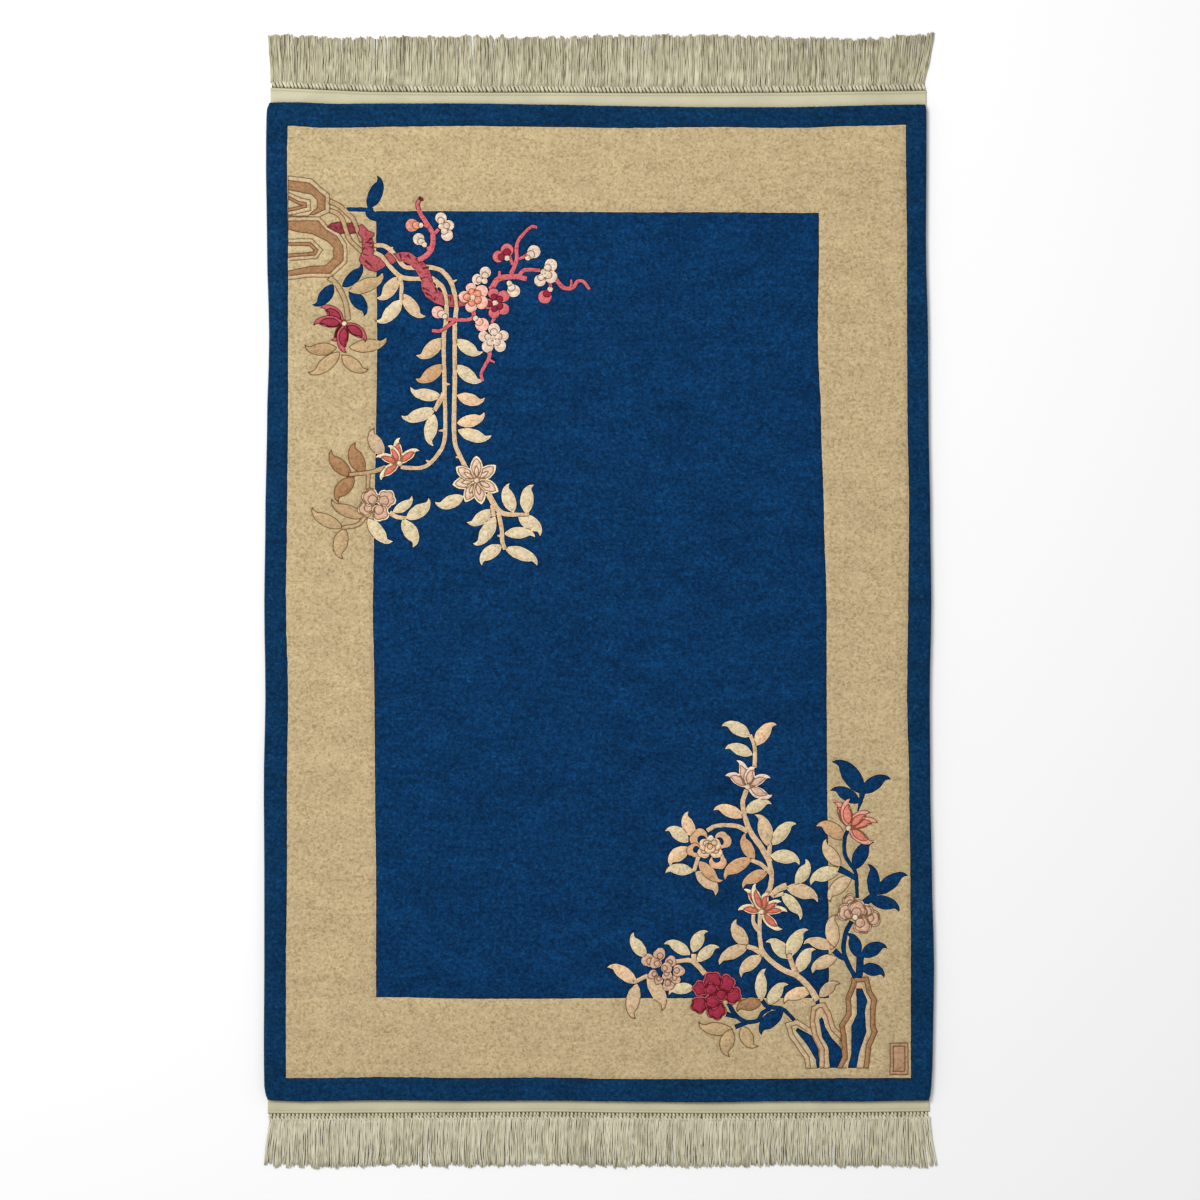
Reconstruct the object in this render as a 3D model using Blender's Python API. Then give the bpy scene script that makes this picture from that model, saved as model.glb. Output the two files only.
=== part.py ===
"""Hand-knotted wool rug with a carved pile, woven end bands and knotted warp fringes, laid flat.

Metres, +Z up. The rug lies on the plane z = 0 with its length along Y and the origin under its middle.
The far end is the end at +Y. Run with: blender --background --python part.py
"""

import bisect
import collections
import math

import bmesh
import bpy

# Heights of the parts above the surface that the rug lies on
PILE_HEIGHT = 0.0150
BAND_HEIGHT = 0.0030
TWINED_CORD_HEIGHT = 0.0042
SIDE_CORD_HEIGHT = 0.0064
KNOT_HEIGHT = 0.0050
STRAND_HEIGHT = 0.0042

# Widths
SIDE_CORD_WIDTH = 0.0078
KNOT_ROW_WIDTH = 0.0105
STRAND_WIDTH = 0.0056
GAP = 0.0003

# Carved lines between two colours of the pile
CARVED_HALF_WIDTH = 0.0018
CARVED_DEPTH = 0.0034

# How finely the long curves are divided
PARTS_ACROSS = 20
PARTS_ALONG = 30
CORNER_SHARES = (0.004, 0.012)
CORD_SIDES = 8
STRANDS = 150
STRAND_STEPS = 3

# Lines that run along the rug, as x at each station: the outer edge, the line between border and frame, and
# the line between frame and field, on the left and on the right. Hand weaving leaves them uneven.
SideStation = collections.namedtuple(
    "SideStation", "y left_edge left_frame left_field right_field right_frame right_edge"
)
SIDE_LINES = (
    SideStation(-0.920, -0.610, -0.575, -0.410, 0.419, 0.569, 0.604),
    SideStation(-0.895, -0.616, -0.575, -0.410, 0.419, 0.569, 0.608),
    SideStation(-0.830, -0.617, -0.575, -0.410, 0.419, 0.569, 0.611),
    SideStation(-0.670, -0.616, -0.575, -0.410, 0.419, 0.569, 0.613),
    SideStation(-0.500, -0.616, -0.573, -0.410, 0.418, 0.568, 0.609),
    SideStation(-0.340, -0.617, -0.573, -0.412, 0.416, 0.566, 0.606),
    SideStation(-0.175, -0.614, -0.571, -0.413, 0.415, 0.562, 0.605),
    SideStation(-0.010, -0.616, -0.575, -0.416, 0.415, 0.564, 0.608),
    SideStation(0.155, -0.614, -0.573, -0.413, 0.410, 0.566, 0.606),
    SideStation(0.320, -0.611, -0.571, -0.410, 0.405, 0.563, 0.603),
    SideStation(0.480, -0.607, -0.571, -0.408, 0.399, 0.562, 0.602),
    SideStation(0.650, -0.611, -0.571, -0.410, 0.401, 0.562, 0.598),
    SideStation(0.815, -0.613, -0.573, -0.410, 0.401, 0.560, 0.599),
    SideStation(0.895, -0.612, -0.571, -0.410, 0.401, 0.560, 0.599),
    SideStation(0.915, -0.606, -0.571, -0.410, 0.401, 0.560, 0.596),
)

# Lines that run across the rug, as y at each station, from the near fringe's tips to the far fringe's
EndStation = collections.namedtuple(
    "EndStation",
    "x near_tips near_band near_edge near_frame near_field far_field far_frame far_edge far_band far_tips",
)
END_LINES = (
    EndStation(-0.615, -1.035, -0.942, -0.9155, -0.875, -0.727, 0.712, 0.867, 0.911, 0.940, 1.034),
    EndStation(-0.570, -1.037, -0.942, -0.9190, -0.875, -0.727, 0.712, 0.868, 0.913, 0.939, 1.035),
    EndStation(-0.500, -1.039, -0.942, -0.9180, -0.875, -0.727, 0.712, 0.864, 0.909, 0.935, 1.029),
    EndStation(-0.400, -1.036, -0.941, -0.9165, -0.873, -0.727, 0.712, 0.866, 0.910, 0.932, 1.031),
    EndStation(-0.250, -1.037, -0.940, -0.9180, -0.875, -0.730, 0.712, 0.868, 0.910, 0.931, 1.033),
    EndStation(-0.100, -1.035, -0.939, -0.9170, -0.874, -0.730, 0.711, 0.866, 0.908, 0.931, 1.031),
    EndStation(0.050, -1.037, -0.941, -0.9190, -0.877, -0.729, 0.710, 0.864, 0.905, 0.930, 1.034),
    EndStation(0.200, -1.038, -0.942, -0.9205, -0.877, -0.729, 0.710, 0.866, 0.903, 0.930, 1.034),
    EndStation(0.350, -1.035, -0.941, -0.9180, -0.876, -0.729, 0.709, 0.864, 0.903, 0.931, 1.031),
    EndStation(0.480, -1.037, -0.940, -0.9190, -0.875, -0.729, 0.708, 0.868, 0.906, 0.933, 1.028),
    EndStation(0.560, -1.038, -0.939, -0.9175, -0.875, -0.729, 0.708, 0.870, 0.908, 0.934, 1.034),
    EndStation(0.610, -1.040, -0.938, -0.9170, -0.875, -0.729, 0.708, 0.870, 0.908, 0.935, 1.041),
)

# Section through the pile from its underside to the middle of the field: each row is the line that it
# follows, how far it lies in from it at the rug's sides and at its ends, its height, and the yarn up to there
PileRow = collections.namedtuple("PileRow", "level side_inset end_inset z yarn")
PILE_ROWS = (
    PileRow("edge", SIDE_CORD_WIDTH + GAP, 0.0030, 0.0, "blue_pile"),
    PileRow("edge", SIDE_CORD_WIDTH + GAP, 0.0030, SIDE_CORD_HEIGHT + 0.0004, "blue_pile"),
    PileRow("edge", 0.0030, 0.0010, 0.0085, "blue_pile"),
    PileRow("edge", 0.0016, 0.0005, 0.0115, "blue_pile"),
    PileRow("edge", 0.0030, 0.0020, 0.0140, "blue_pile"),
    PileRow("edge", 0.0065, 0.0050, PILE_HEIGHT, "blue_pile"),
    PileRow("frame", -CARVED_HALF_WIDTH, -CARVED_HALF_WIDTH, PILE_HEIGHT, "blue_pile"),
    PileRow("frame", 0.0, 0.0, PILE_HEIGHT - CARVED_DEPTH, "blue_pile"),
    PileRow("frame", CARVED_HALF_WIDTH, CARVED_HALF_WIDTH, PILE_HEIGHT, "sand_pile"),
    PileRow("field", -CARVED_HALF_WIDTH, -CARVED_HALF_WIDTH, PILE_HEIGHT, "sand_pile"),
    PileRow("field", 0.0, 0.0, PILE_HEIGHT - CARVED_DEPTH, "sand_pile"),
    PileRow("field", CARVED_HALF_WIDTH, CARVED_HALF_WIDTH, PILE_HEIGHT, "blue_pile"),
)
FOOT_ROW = PILE_ROWS[0]
CORD_END_INSET = 0.0010  # how far a side cord stops short of the pile's foot at each end

# Section of an end band at its outer side, where a twined cord holds the last wefts
TWINED_CORD_INSET = 0.0031
TWINED_CORD_HALF_WIDTH = 0.0019
BAND_EDGE_DROP = 0.0008

# Each fringe: which way it points, where it starts and ends across the rug, and how far its ends flare out
Fringe = collections.namedtuple("Fringe", "name toward end left right flare_left flare_right")
FRINGES = (
    Fringe("fringe_far", 1, "far", -0.6015, 0.5955, 0.006, 0.016),
    Fringe("fringe_near", -1, "near", -0.6065, 0.6015, 0.009, 0.014),
)
BAND_PAST_FRINGE = 0.0025  # how far a band runs on past its fringe at each side
FLARE_REACH = 0.075  # of a fringe's width, from each end
SWAY_FINE = 0.0010
SWAY_SLOW = 0.0030
UNEVEN_TIPS = 0.0022

MATERIALS = {
    "blue_pile": ((0.0052, 0.036, 0.105, 1.0), 0.95),
    "sand_pile": ((0.54, 0.41, 0.22, 1.0), 0.95),
    "blue_cord": ((0.0050, 0.032, 0.092, 1.0), 0.90),
    "ivory_band": ((0.54, 0.50, 0.36, 1.0), 0.90),
    "ivory_fringe": ((0.45, 0.42, 0.30, 1.0), 0.90),
}
SHARP_ANGLE = math.radians(40)


def clear_scene():
    for obj in list(bpy.data.objects):
        bpy.data.objects.remove(obj)


def material(name):
    colour, roughness = MATERIALS[name]
    made = bpy.data.materials.get(name) or bpy.data.materials.new(name)
    made.use_nodes = True
    shader = made.node_tree.nodes["Principled BSDF"]
    shader.inputs["Base Color"].default_value = colour
    shader.inputs["Roughness"].default_value = roughness
    shader.inputs["Metallic"].default_value = 0.0
    return made


def add_object(name, bm, *material_names):
    bmesh.ops.recalc_face_normals(bm, faces=bm.faces)
    mesh = bpy.data.meshes.new(name)
    bm.to_mesh(mesh)
    bm.free()
    for material_name in material_names:
        mesh.materials.append(material(material_name))
    mesh.shade_smooth()
    mesh.set_sharp_from_angle(angle=SHARP_ANGLE)
    obj = bpy.data.objects.new(name, mesh)
    bpy.context.scene.collection.objects.link(obj)
    return obj


def lerp(a, b, share):
    return a + (b - a) * share


def reader(stations, values, ease):
    """A line through the stations: its value anywhere, with ease shaping the way from one to the next."""

    def at(place):
        i = min(max(bisect.bisect_right(stations, place) - 1, 0), len(stations) - 2)
        share = (place - stations[i]) / (stations[i + 1] - stations[i])
        return lerp(values[i], values[i + 1], ease(share))

    return at


def soft(share):
    return (1 - math.cos(math.pi * min(max(share, 0.0), 1.0))) / 2


def straight(share):
    return share


def line(rows, name):
    """The wandering line of that name in a table."""
    return reader([row[0] for row in rows], [getattr(row, name) for row in rows], soft)


def shares(parts):
    """Shares of a side's length at which it has points: even, and closer together at the corners."""
    even = [i / parts for i in range(1, parts)]
    return [0.0, *CORNER_SHARES, *even, *(1 - s for s in reversed(CORNER_SHARES)), 1.0]


def four_sides(row):
    """Points along the rug's four sides in one row of the pile's section, each side with both corners."""
    left, right = (line(SIDE_LINES, f"{side}_{row.level}") for side in ("left", "right"))
    near, far = (line(END_LINES, f"{end}_{row.level}") for end in ("near", "far"))

    def corner(side, end, inward_x, inward_y):
        y = end(side(0.0)) + inward_y * row.end_inset
        return side(y) + inward_x * row.side_inset, y

    near_left, near_right = corner(left, near, 1, 1), corner(right, near, -1, 1)
    far_left, far_right = corner(left, far, 1, -1), corner(right, far, -1, -1)

    def across(start, stop, end, inward):
        places = [lerp(start[0], stop[0], share) for share in shares(PARTS_ACROSS)]
        middle = [(x, end(x) + inward * row.end_inset, row.z) for x in places[1:-1]]
        return [(*start, row.z), *middle, (*stop, row.z)]

    def along(start, stop, side, inward):
        places = [lerp(start[1], stop[1], share) for share in shares(PARTS_ALONG)]
        middle = [(side(y) + inward * row.side_inset, y, row.z) for y in places[1:-1]]
        return [(*start, row.z), *middle, (*stop, row.z)]

    return {
        "near": across(near_left, near_right, near, 1),
        "right": along(near_right, far_right, right, -1),
        "far": across(far_left, far_right, far, -1),
        "left": along(near_left, far_left, left, 1),
    }


def ring(row):
    """Points round the rug along one row of the pile's section, from the near left corner by the right."""
    sides = four_sides(row)
    return [*sides["near"][:-1], *sides["right"][:-1], *sides["far"][:0:-1], *sides["left"][:0:-1]]


def loft(rings, yarns=()):
    """One closed body through rings of equal length, each joined to the next, with its two ends capped."""
    bm = bmesh.new()
    rows = [[bm.verts.new(point) for point in points] for points in rings]
    for number, (lower, upper) in enumerate(zip(rows, rows[1:])):
        for i in range(len(lower)):
            j = (i + 1) % len(lower)
            face = bm.faces.new((lower[i], lower[j], upper[j], upper[i]))
            face.material_index = yarns[number] if yarns else 0
    bm.faces.new(reversed(rows[0]))
    bm.faces.new(rows[-1])
    return bm


def pile_body():
    """The knotted pile: one slab with full rounded edges and a carved line along each change of colour."""
    colours = ("blue_pile", "sand_pile")
    yarns = [colours.index(row.yarn) for row in PILE_ROWS[1:]]
    add_object("pile_body", loft([ring(row) for row in PILE_ROWS], yarns), *colours)


def side_cord(side, inward):
    """The overcast cord that finishes a side, a flattened tube on the floor under the pile's edge."""
    foot = four_sides(FOOT_ROW)[side]
    foot_x = reader([y for _, y, _ in foot], [x for x, _, _ in foot], straight)
    places = [y for _, y, _ in foot]
    places[0] += CORD_END_INSET
    places[-1] -= CORD_END_INSET
    to_corner = 1 / math.cos(math.pi / CORD_SIDES)
    rings = []
    for y in places:
        x = foot_x(y) - inward * (GAP + SIDE_CORD_WIDTH / 2)
        section = []
        for k in range(CORD_SIDES):
            angle = 2 * math.pi * (k + 0.5) / CORD_SIDES
            across = math.cos(angle) * to_corner * SIDE_CORD_WIDTH / 2
            up = math.sin(angle) * to_corner * SIDE_CORD_HEIGHT / 2
            section.append((x + across, y, SIDE_CORD_HEIGHT / 2 + up))
        rings.append(section)
    add_object(f"side_cord_{side}", loft(rings), "blue_cord")


def band_stations(fringe):
    """Where along its width a fringe's band has points: those of the pile's foot, and its own two ends."""
    left, right = fringe.left - BAND_PAST_FRINGE, fringe.right + BAND_PAST_FRINGE
    between = [x for x, _, _ in four_sides(FOOT_ROW)[fringe.end] if left < x < right]
    return [left, *between, right]


def band_outer_line(fringe):
    """The band's outer edge as built, straight between its points, so that the knots lie along it."""
    wandering = line(END_LINES, f"{fringe.end}_band")
    stations = band_stations(fringe)
    return reader(stations, [wandering(x) for x in stations], straight)


def end_band(fringe):
    """The flat-woven band past the pile, with the twined cord that holds its last wefts as a ridge."""
    foot = four_sides(FOOT_ROW)[fringe.end]
    foot_y = reader([x for x, _, _ in foot], [y for _, y, _ in foot], straight)
    outer = band_outer_line(fringe)
    out = fringe.toward
    rings = []
    for x in band_stations(fringe):
        inside, outside = foot_y(x) + out * GAP, outer(x)
        twined = outside - out * TWINED_CORD_INSET
        rings.append(
            [
                (x, inside, 0.0),
                (x, inside, BAND_HEIGHT),
                (x, twined - out * TWINED_CORD_HALF_WIDTH, BAND_HEIGHT),
                (x, twined, TWINED_CORD_HEIGHT),
                (x, twined + out * TWINED_CORD_HALF_WIDTH, BAND_HEIGHT),
                (x, outside, BAND_HEIGHT - BAND_EDGE_DROP),
                (x, outside, 0.0),
            ]
        )
    add_object(f"end_band_{fringe.end}", loft(rings), "ivory_band")


def strand_x(fringe, i, share):
    """Where across the rug strand i is at a share of its length: it sways, and at the ends it flares."""
    u = (i + 0.5) / STRANDS
    root = lerp(fringe.left, fringe.right, u)
    left = fringe.flare_left * max(0.0, 1 - u / FLARE_REACH) ** 2
    right = fringe.flare_right * max(0.0, 1 - (1 - u) / FLARE_REACH) ** 2
    sway = SWAY_FINE * math.sin(1.7 * i) + SWAY_SLOW * math.sin(0.11 * i + 1.0)
    return root + (right - left + sway) * share**1.5


def knot_cell(bm, fringe, i, band):
    """Points of one knot of the row: its inner foot, its top, the dip after it, and its strand's root."""
    out = fringe.toward
    x = strand_x(fringe, i, 0.0)
    half_pitch = (fringe.right - fringe.left) / STRANDS / 2
    half_root = STRAND_WIDTH * 0.42
    inner = band(x) + out * GAP
    ridge, outer = inner + out * KNOT_ROW_WIDTH / 2, inner + out * KNOT_ROW_WIDTH
    return {
        "floor": bm.verts.new((x, inner, 0.0)),
        "inner": bm.verts.new((x, inner, BAND_HEIGHT - BAND_EDGE_DROP)),
        "knot": bm.verts.new((x, ridge, KNOT_HEIGHT)),
        "dip": bm.verts.new((x + half_pitch, ridge, BAND_HEIGHT)) if i < STRANDS - 1 else None,
        "root": [
            bm.verts.new((x - half_root, outer, 0.0)),
            bm.verts.new((x + half_root, outer, 0.0)),
            bm.verts.new((x, outer, STRAND_HEIGHT * 0.85)),
        ],
    }


def join_cells(bm, this, after):
    """The faces of the knot row between one knot and the next."""
    _, right, top = this["root"]
    next_left, _, next_top = after["root"]
    for face in (
        (this["floor"], after["floor"], after["inner"], this["inner"]),
        (this["inner"], this["dip"], this["knot"]),
        (this["inner"], after["inner"], this["dip"]),
        (after["inner"], after["knot"], this["dip"]),
        (this["knot"], this["dip"], top),
        (this["dip"], next_top, top),
        (this["dip"], after["knot"], next_top),
        (top, next_top, next_left, right),
        (this["floor"], right, next_left, after["floor"]),
    ):
        bm.faces.new(face)


def strand(bm, fringe, i, root, tip):
    """One lock of warp ends, three-sided, from its root in the knot row to its tip on the floor."""
    section = root
    start = root[0].co.y
    for step in range(1, STRAND_STEPS + 1):
        share = step / STRAND_STEPS
        x, y = strand_x(fringe, i, share), lerp(start, tip, share)
        fullness = math.sin(math.pi * (0.25 + 0.55 * share))
        half, height = STRAND_WIDTH / 2 * fullness, STRAND_HEIGHT * fullness
        following = [
            bm.verts.new((x - half, y, 0.0)),
            bm.verts.new((x + half, y, 0.0)),
            bm.verts.new((x, y, height)),
        ]
        for a, b in ((0, 1), (1, 2), (2, 0)):
            bm.faces.new((section[a], section[b], following[b], following[a]))
        section = following
    bm.faces.new(section)


def fringe_node(fringe):
    """A row of warp knots with its strands, which stand apart and lie level on the floor."""
    band = band_outer_line(fringe)
    tips = line(END_LINES, f"{fringe.end}_tips")
    bm = bmesh.new()
    cells = [knot_cell(bm, fringe, i, band) for i in range(STRANDS)]
    for this, after in zip(cells, cells[1:]):
        join_cells(bm, this, after)
    for cell in cells:
        bm.faces.new((cell["floor"], cell["root"][0], cell["root"][1]))
    for cell, foot in ((cells[0], cells[0]["root"][0]), (cells[-1], cells[-1]["root"][1])):
        bm.faces.new((cell["floor"], cell["inner"], foot))
        bm.faces.new((cell["inner"], cell["knot"], foot))
        bm.faces.new((cell["knot"], cell["root"][2], foot))
    for i, cell in enumerate(cells):
        tip = tips(strand_x(fringe, i, 1.0)) + UNEVEN_TIPS * math.sin(2.3 * i + 0.7)
        strand(bm, fringe, i, cell["root"], tip)
    add_object(fringe.name, bm, "ivory_fringe")


def main():
    clear_scene()
    pile_body()
    side_cord("left", 1)
    side_cord("right", -1)
    for fringe in FRINGES:
        end_band(fringe)
        fringe_node(fringe)


main()
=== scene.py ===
"""Hand-knotted wool rug with a carved pile, overcast sides, woven end bands and knotted warp fringes.

Metres, +Z up. The rug lies on z = 0 with its length along Y, and the camera looks straight down on it.
"""

import bisect
import math
import random

import bmesh
import bpy
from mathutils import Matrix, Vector, bvhtree, kdtree, noise
from mathutils.geometry import delaunay_2d_cdt


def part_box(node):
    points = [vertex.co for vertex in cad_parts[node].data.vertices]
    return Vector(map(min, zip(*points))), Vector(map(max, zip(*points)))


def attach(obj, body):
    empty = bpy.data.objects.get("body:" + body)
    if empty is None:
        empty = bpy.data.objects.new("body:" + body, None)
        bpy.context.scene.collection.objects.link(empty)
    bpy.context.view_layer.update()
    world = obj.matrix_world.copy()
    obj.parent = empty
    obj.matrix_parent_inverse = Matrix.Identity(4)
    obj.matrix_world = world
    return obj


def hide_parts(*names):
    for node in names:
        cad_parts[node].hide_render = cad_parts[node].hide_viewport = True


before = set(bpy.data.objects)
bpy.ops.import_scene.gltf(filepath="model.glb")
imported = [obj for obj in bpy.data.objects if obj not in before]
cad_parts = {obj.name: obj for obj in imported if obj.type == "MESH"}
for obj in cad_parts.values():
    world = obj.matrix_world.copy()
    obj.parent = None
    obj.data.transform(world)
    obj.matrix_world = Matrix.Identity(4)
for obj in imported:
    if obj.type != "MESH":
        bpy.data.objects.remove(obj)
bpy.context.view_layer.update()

# The loom's lines
# The rug's edge and the lines of its frame wander a little, as hand weaving does. They are read from the
# packed pile, whose rings of corners stand one at each height, and are then divided to the width of a knot.

pile_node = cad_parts["pile_body"]
TUFT = 0.0024
EDGE_TOP = 0.0150
EDGE_LEVELS = (0.0, 0.0068, 0.0085, 0.0115, 0.0140)
COUNTED_RING = 3  # the ring of the edge whose lengths give how many tufts go round
CARVED_LEVEL = 0.0116
SAME_LEVEL = 0.00004
PAST_FRAME = (0.585, 0.885)
PAST_FIELD = (0.500, 0.800)


def ring_of_corners(level, keep):
    """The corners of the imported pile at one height, in order round the rug."""
    corners = {}
    for vertex in pile_node.data.vertices:
        x, y, z = vertex.co
        if abs(z - level) < SAME_LEVEL and keep(x, y):
            corners[round(x, 5), round(y, 5)] = Vector((x, y))
    return sorted(corners.values(), key=lambda corner: math.atan2(corner.y, corner.x))


def outside(limits):
    """A test for the corners past these half sizes."""
    return lambda x, y: abs(x) > limits[0] or abs(y) > limits[1]


def inside(limits):
    """A test for the corners within these half sizes."""
    return lambda x, y: abs(x) < limits[0] and abs(y) < limits[1]


edge_rings = [ring_of_corners(level, lambda x, y: True) for level in EDGE_LEVELS]
edge_rings.append(ring_of_corners(EDGE_TOP, outside(PAST_FRAME)))
frame_ring = ring_of_corners(CARVED_LEVEL, outside(PAST_FIELD))
field_ring = ring_of_corners(CARVED_LEVEL, inside(PAST_FIELD))
counted = edge_rings[COUNTED_RING]
steps_round = [
    max(1, round((there - here).length / TUFT)) for here, there in zip(counted, counted[1:] + counted[:1])
]


def divided(ring):
    """The ring with a point at every tuft or so, and as many points as every other divided ring."""
    points = []
    for here, there, steps in zip(ring, ring[1:] + ring[:1], steps_round):
        points += [here.lerp(there, k / steps) for k in range(steps)]
    return points


# Dyed wool
# Every colour of the pile is hand-spun wool in its own dye bath. The yarn is uneven, so a colour is mottled
# from tuft to tuft and drifts in faint bands across the rug. The grooves where colours meet are darkened
# with painted shade.

TUFTS_A_METRE = 310
CLUMPS_A_METRE = 165
ROWS_A_METRE = 210
ALONG_A_ROW = 25.0
PATCHES_A_METRE = 11
SPECKS_A_METRE = 240
TUFT_DARKER = 1.4
TUFT_LIGHTER = 1.1
CLUMP_MOTTLE = 1.3
ROW_MOTTLE = 0.5
PATCH_MOTTLE = 0.6
NOISE_MIDDLE = (0.3, 0.7)  # most values of a noise lie between these
ODD_KNOTS = (0.54, 0.72)  # where the specks' noise turns from the plain wool to the odd knot
GROOVE_SHADE_DEPTH = (0.20, 0.72)  # how deep in a groove the dark line begins and is full
# Where the painted highlight on a pale wool and the painted shade on a blue one begin and are full, beside a
# groove that parts the two
BESIDE_BLUE_LIGHT_AND_SHADE = (-0.5, -0.05)
TUFT_RELIEF = 0.0012
STUDIO_BRIGHTER = 1.07  # how much brighter the studio shows a colour than the daylight that it is named in
# Painted shade: what is left of a pale wool's colour deep in a groove
GROOVE_SHADE = (0.30, 0.22, 0.15)
PALE_SPECK = (0.80, 0.75, 0.68)
wools = {}


def to_linear(value):
    """A colour value of 0 to 255 as the share of light that it stands for."""
    share = value / 255
    return share / 12.92 if share <= 0.04045 else ((share + 0.055) / 1.055) ** 2.4


def add_node(tree, kind, place, **settings):
    made = tree.nodes.new(kind)
    made.location = place
    for name, value in settings.items():
        setattr(made, name, value)
    return made


def new_material(name):
    """A material with an empty Principled shader, the shader and its tree."""
    made = bpy.data.materials.new(name)
    made.use_nodes = True
    return made, made.node_tree.nodes["Principled BSDF"], made.node_tree


def spread(tree, source, middle, to_low, to_high, place):
    """Turns a texture's values between the two of its middle into a share from to_low to to_high."""
    ranged = add_node(tree, "ShaderNodeMapRange", place)
    for name, value in zip(("From Min", "From Max", "To Min", "To Max"), (*middle, to_low, to_high)):
        ranged.inputs[name].default_value = value
    tree.links.new(source, ranged.inputs["Value"])
    return ranged.outputs["Result"]


def times(tree, a, b, place):
    product = add_node(tree, "ShaderNodeMath", place, operation="MULTIPLY")
    tree.links.new(a, product.inputs[0])
    tree.links.new(b, product.inputs[1])
    return product.outputs[0]


def stretched_noise(tree, where, scale, detail, place):
    """Noise drawn out across the rug, as rows of knots and dye bands are. Scale is for x, y and z."""
    drawn_out = add_node(tree, "ShaderNodeMapping", (place[0] - 200, place[1]))
    drawn_out.inputs["Scale"].default_value = scale
    made = add_node(tree, "ShaderNodeTexNoise", place)
    made.inputs["Scale"].default_value = 1.0
    made.inputs["Detail"].default_value = detail
    tree.links.new(where, drawn_out.inputs["Vector"])
    tree.links.new(drawn_out.outputs["Vector"], made.inputs["Vector"])
    return made.outputs["Fac"]


def wool(name, red, green, blue, mottle=0.10, shade=GROOVE_SHADE, speck=PALE_SPECK, against_blue=1.25):
    """A wool yarn in the colour that it shows in daylight. Shade is the painted shade left of it deep in a
    groove, speck the odd knot of darker or lighter wool, and against_blue the share of colour left beside a
    groove
    that parts blue wool from another colour: a painted highlight on a pale wool, painted shade on a blue one."""
    made, shader, tree = new_material(name)
    where = add_node(tree, "ShaderNodeTexCoord", (-1900, 0)).outputs["Object"]
    tufts = stretched_noise(tree, where, (TUFTS_A_METRE,) * 3, 3.0, (-1450, 300))
    clumps = stretched_noise(tree, where, (CLUMPS_A_METRE,) * 3, 2.0, (-1450, 50))
    rows = stretched_noise(tree, where, (ALONG_A_ROW, ROWS_A_METRE, ALONG_A_ROW), 2.0, (-1450, -200))
    patches = stretched_noise(tree, where, (PATCHES_A_METRE, PATCHES_A_METRE * 2, 4.0), 3.0, (-1450, -450))
    specks = stretched_noise(tree, where, (SPECKS_A_METRE,) * 3, 0.0, (-1450, -700))

    darkest, lightest = 1 - TUFT_DARKER * mottle, 1 + TUFT_LIGHTER * mottle
    level = spread(tree, tufts, NOISE_MIDDLE, darkest, lightest, (-1200, 300))
    for texture, share, height in (
        (clumps, CLUMP_MOTTLE, 50), (rows, ROW_MOTTLE, -200), (patches, PATCH_MOTTLE, -450),
    ):
        part = spread(tree, texture, NOISE_MIDDLE, 1 - share * mottle, 1 + share * mottle, (-1200, height))
        level = times(tree, level, part, (-950, height))
    # Painted light and shade along the grooves: above zero deep in a groove, and below zero beside a groove
    # that parts blue from another colour, where the blue takes painted shade and the other a painted
    # highlight
    painted_light_and_shade = add_node(tree, "ShaderNodeAttribute", (-1450, -900), attribute_name="painted_light_and_shade").outputs["Fac"]
    blue_edge_light_and_shade = spread(tree, painted_light_and_shade, BESIDE_BLUE_LIGHT_AND_SHADE, against_blue, 1.0, (-1200, -950))
    level = times(tree, level, blue_edge_light_and_shade, (-700, 200))

    colour = [to_linear(value) / STUDIO_BRIGHTER for value in (red, green, blue)]
    odd = add_node(tree, "ShaderNodeMix", (-760, -650), data_type="RGBA")
    odd.inputs["A"].default_value = (*colour, 1.0)
    odd.inputs["B"].default_value = (*(value * left for value, left in zip(colour, speck)), 1.0)
    tree.links.new(spread(tree, specks, ODD_KNOTS, 0.0, 1.0, (-1200, -700)), odd.inputs["Factor"])
    # Mixes the colour toward its painted groove shade, the more the deeper in the groove
    line = add_node(tree, "ShaderNodeMix", (-560, -500), data_type="RGBA")
    line.inputs["B"].default_value = (*(value * left for value, left in zip(colour, shade)), 1.0)
    tree.links.new(spread(tree, painted_light_and_shade, GROOVE_SHADE_DEPTH, 0.0, 1.0, (-760, -900)), line.inputs["Factor"])
    tree.links.new(odd.outputs["Result"], line.inputs["A"])
    dyed = add_node(tree, "ShaderNodeVectorMath", (-350, 0), operation="SCALE")
    tree.links.new(line.outputs["Result"], dyed.inputs["Vector"])
    tree.links.new(level, dyed.inputs["Scale"])
    tree.links.new(dyed.outputs["Vector"], shader.inputs["Base Color"])

    raised = add_node(tree, "ShaderNodeBump", (-300, -300))
    raised.inputs["Strength"].default_value = 0.6
    raised.inputs["Distance"].default_value = TUFT_RELIEF
    tree.links.new(tufts, raised.inputs["Height"])
    tree.links.new(raised.outputs["Normal"], shader.inputs["Normal"])
    shader.inputs["Roughness"].default_value = 0.95
    shader.inputs["Specular IOR Level"].default_value = 0.06
    shader.inputs["Sheen Weight"].default_value = 0.02
    shader.inputs["Sheen Roughness"].default_value = 0.6
    wools[name] = len(wools), made
    return name


# Ground colours of the pile
# The weaver ties the ground row by row from a cartoon: a deep blue border and field in one dye lot, and a
# sand-coloured frame between them. Each later shape of the cartoon lies over the ones before it.

# Painted shade deep in the grooves of the blue wools
BLUE_GROOVE_SHADE = (0.20, 0.14, 0.12)
BLUE_SPECK = (1.9, 1.35, 1.15)
# Painted shade on a blue wool beside a groove that parts it from another colour
BLUE_EDGE_SHADE = 0.10  # what is left of a blue where a cut parts it from another colour
HAND_WOBBLE = 0.7
WOBBLES_A_MM = 0.11
LONGEST_EDGE = 3.6
MM = 1000.0

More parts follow.
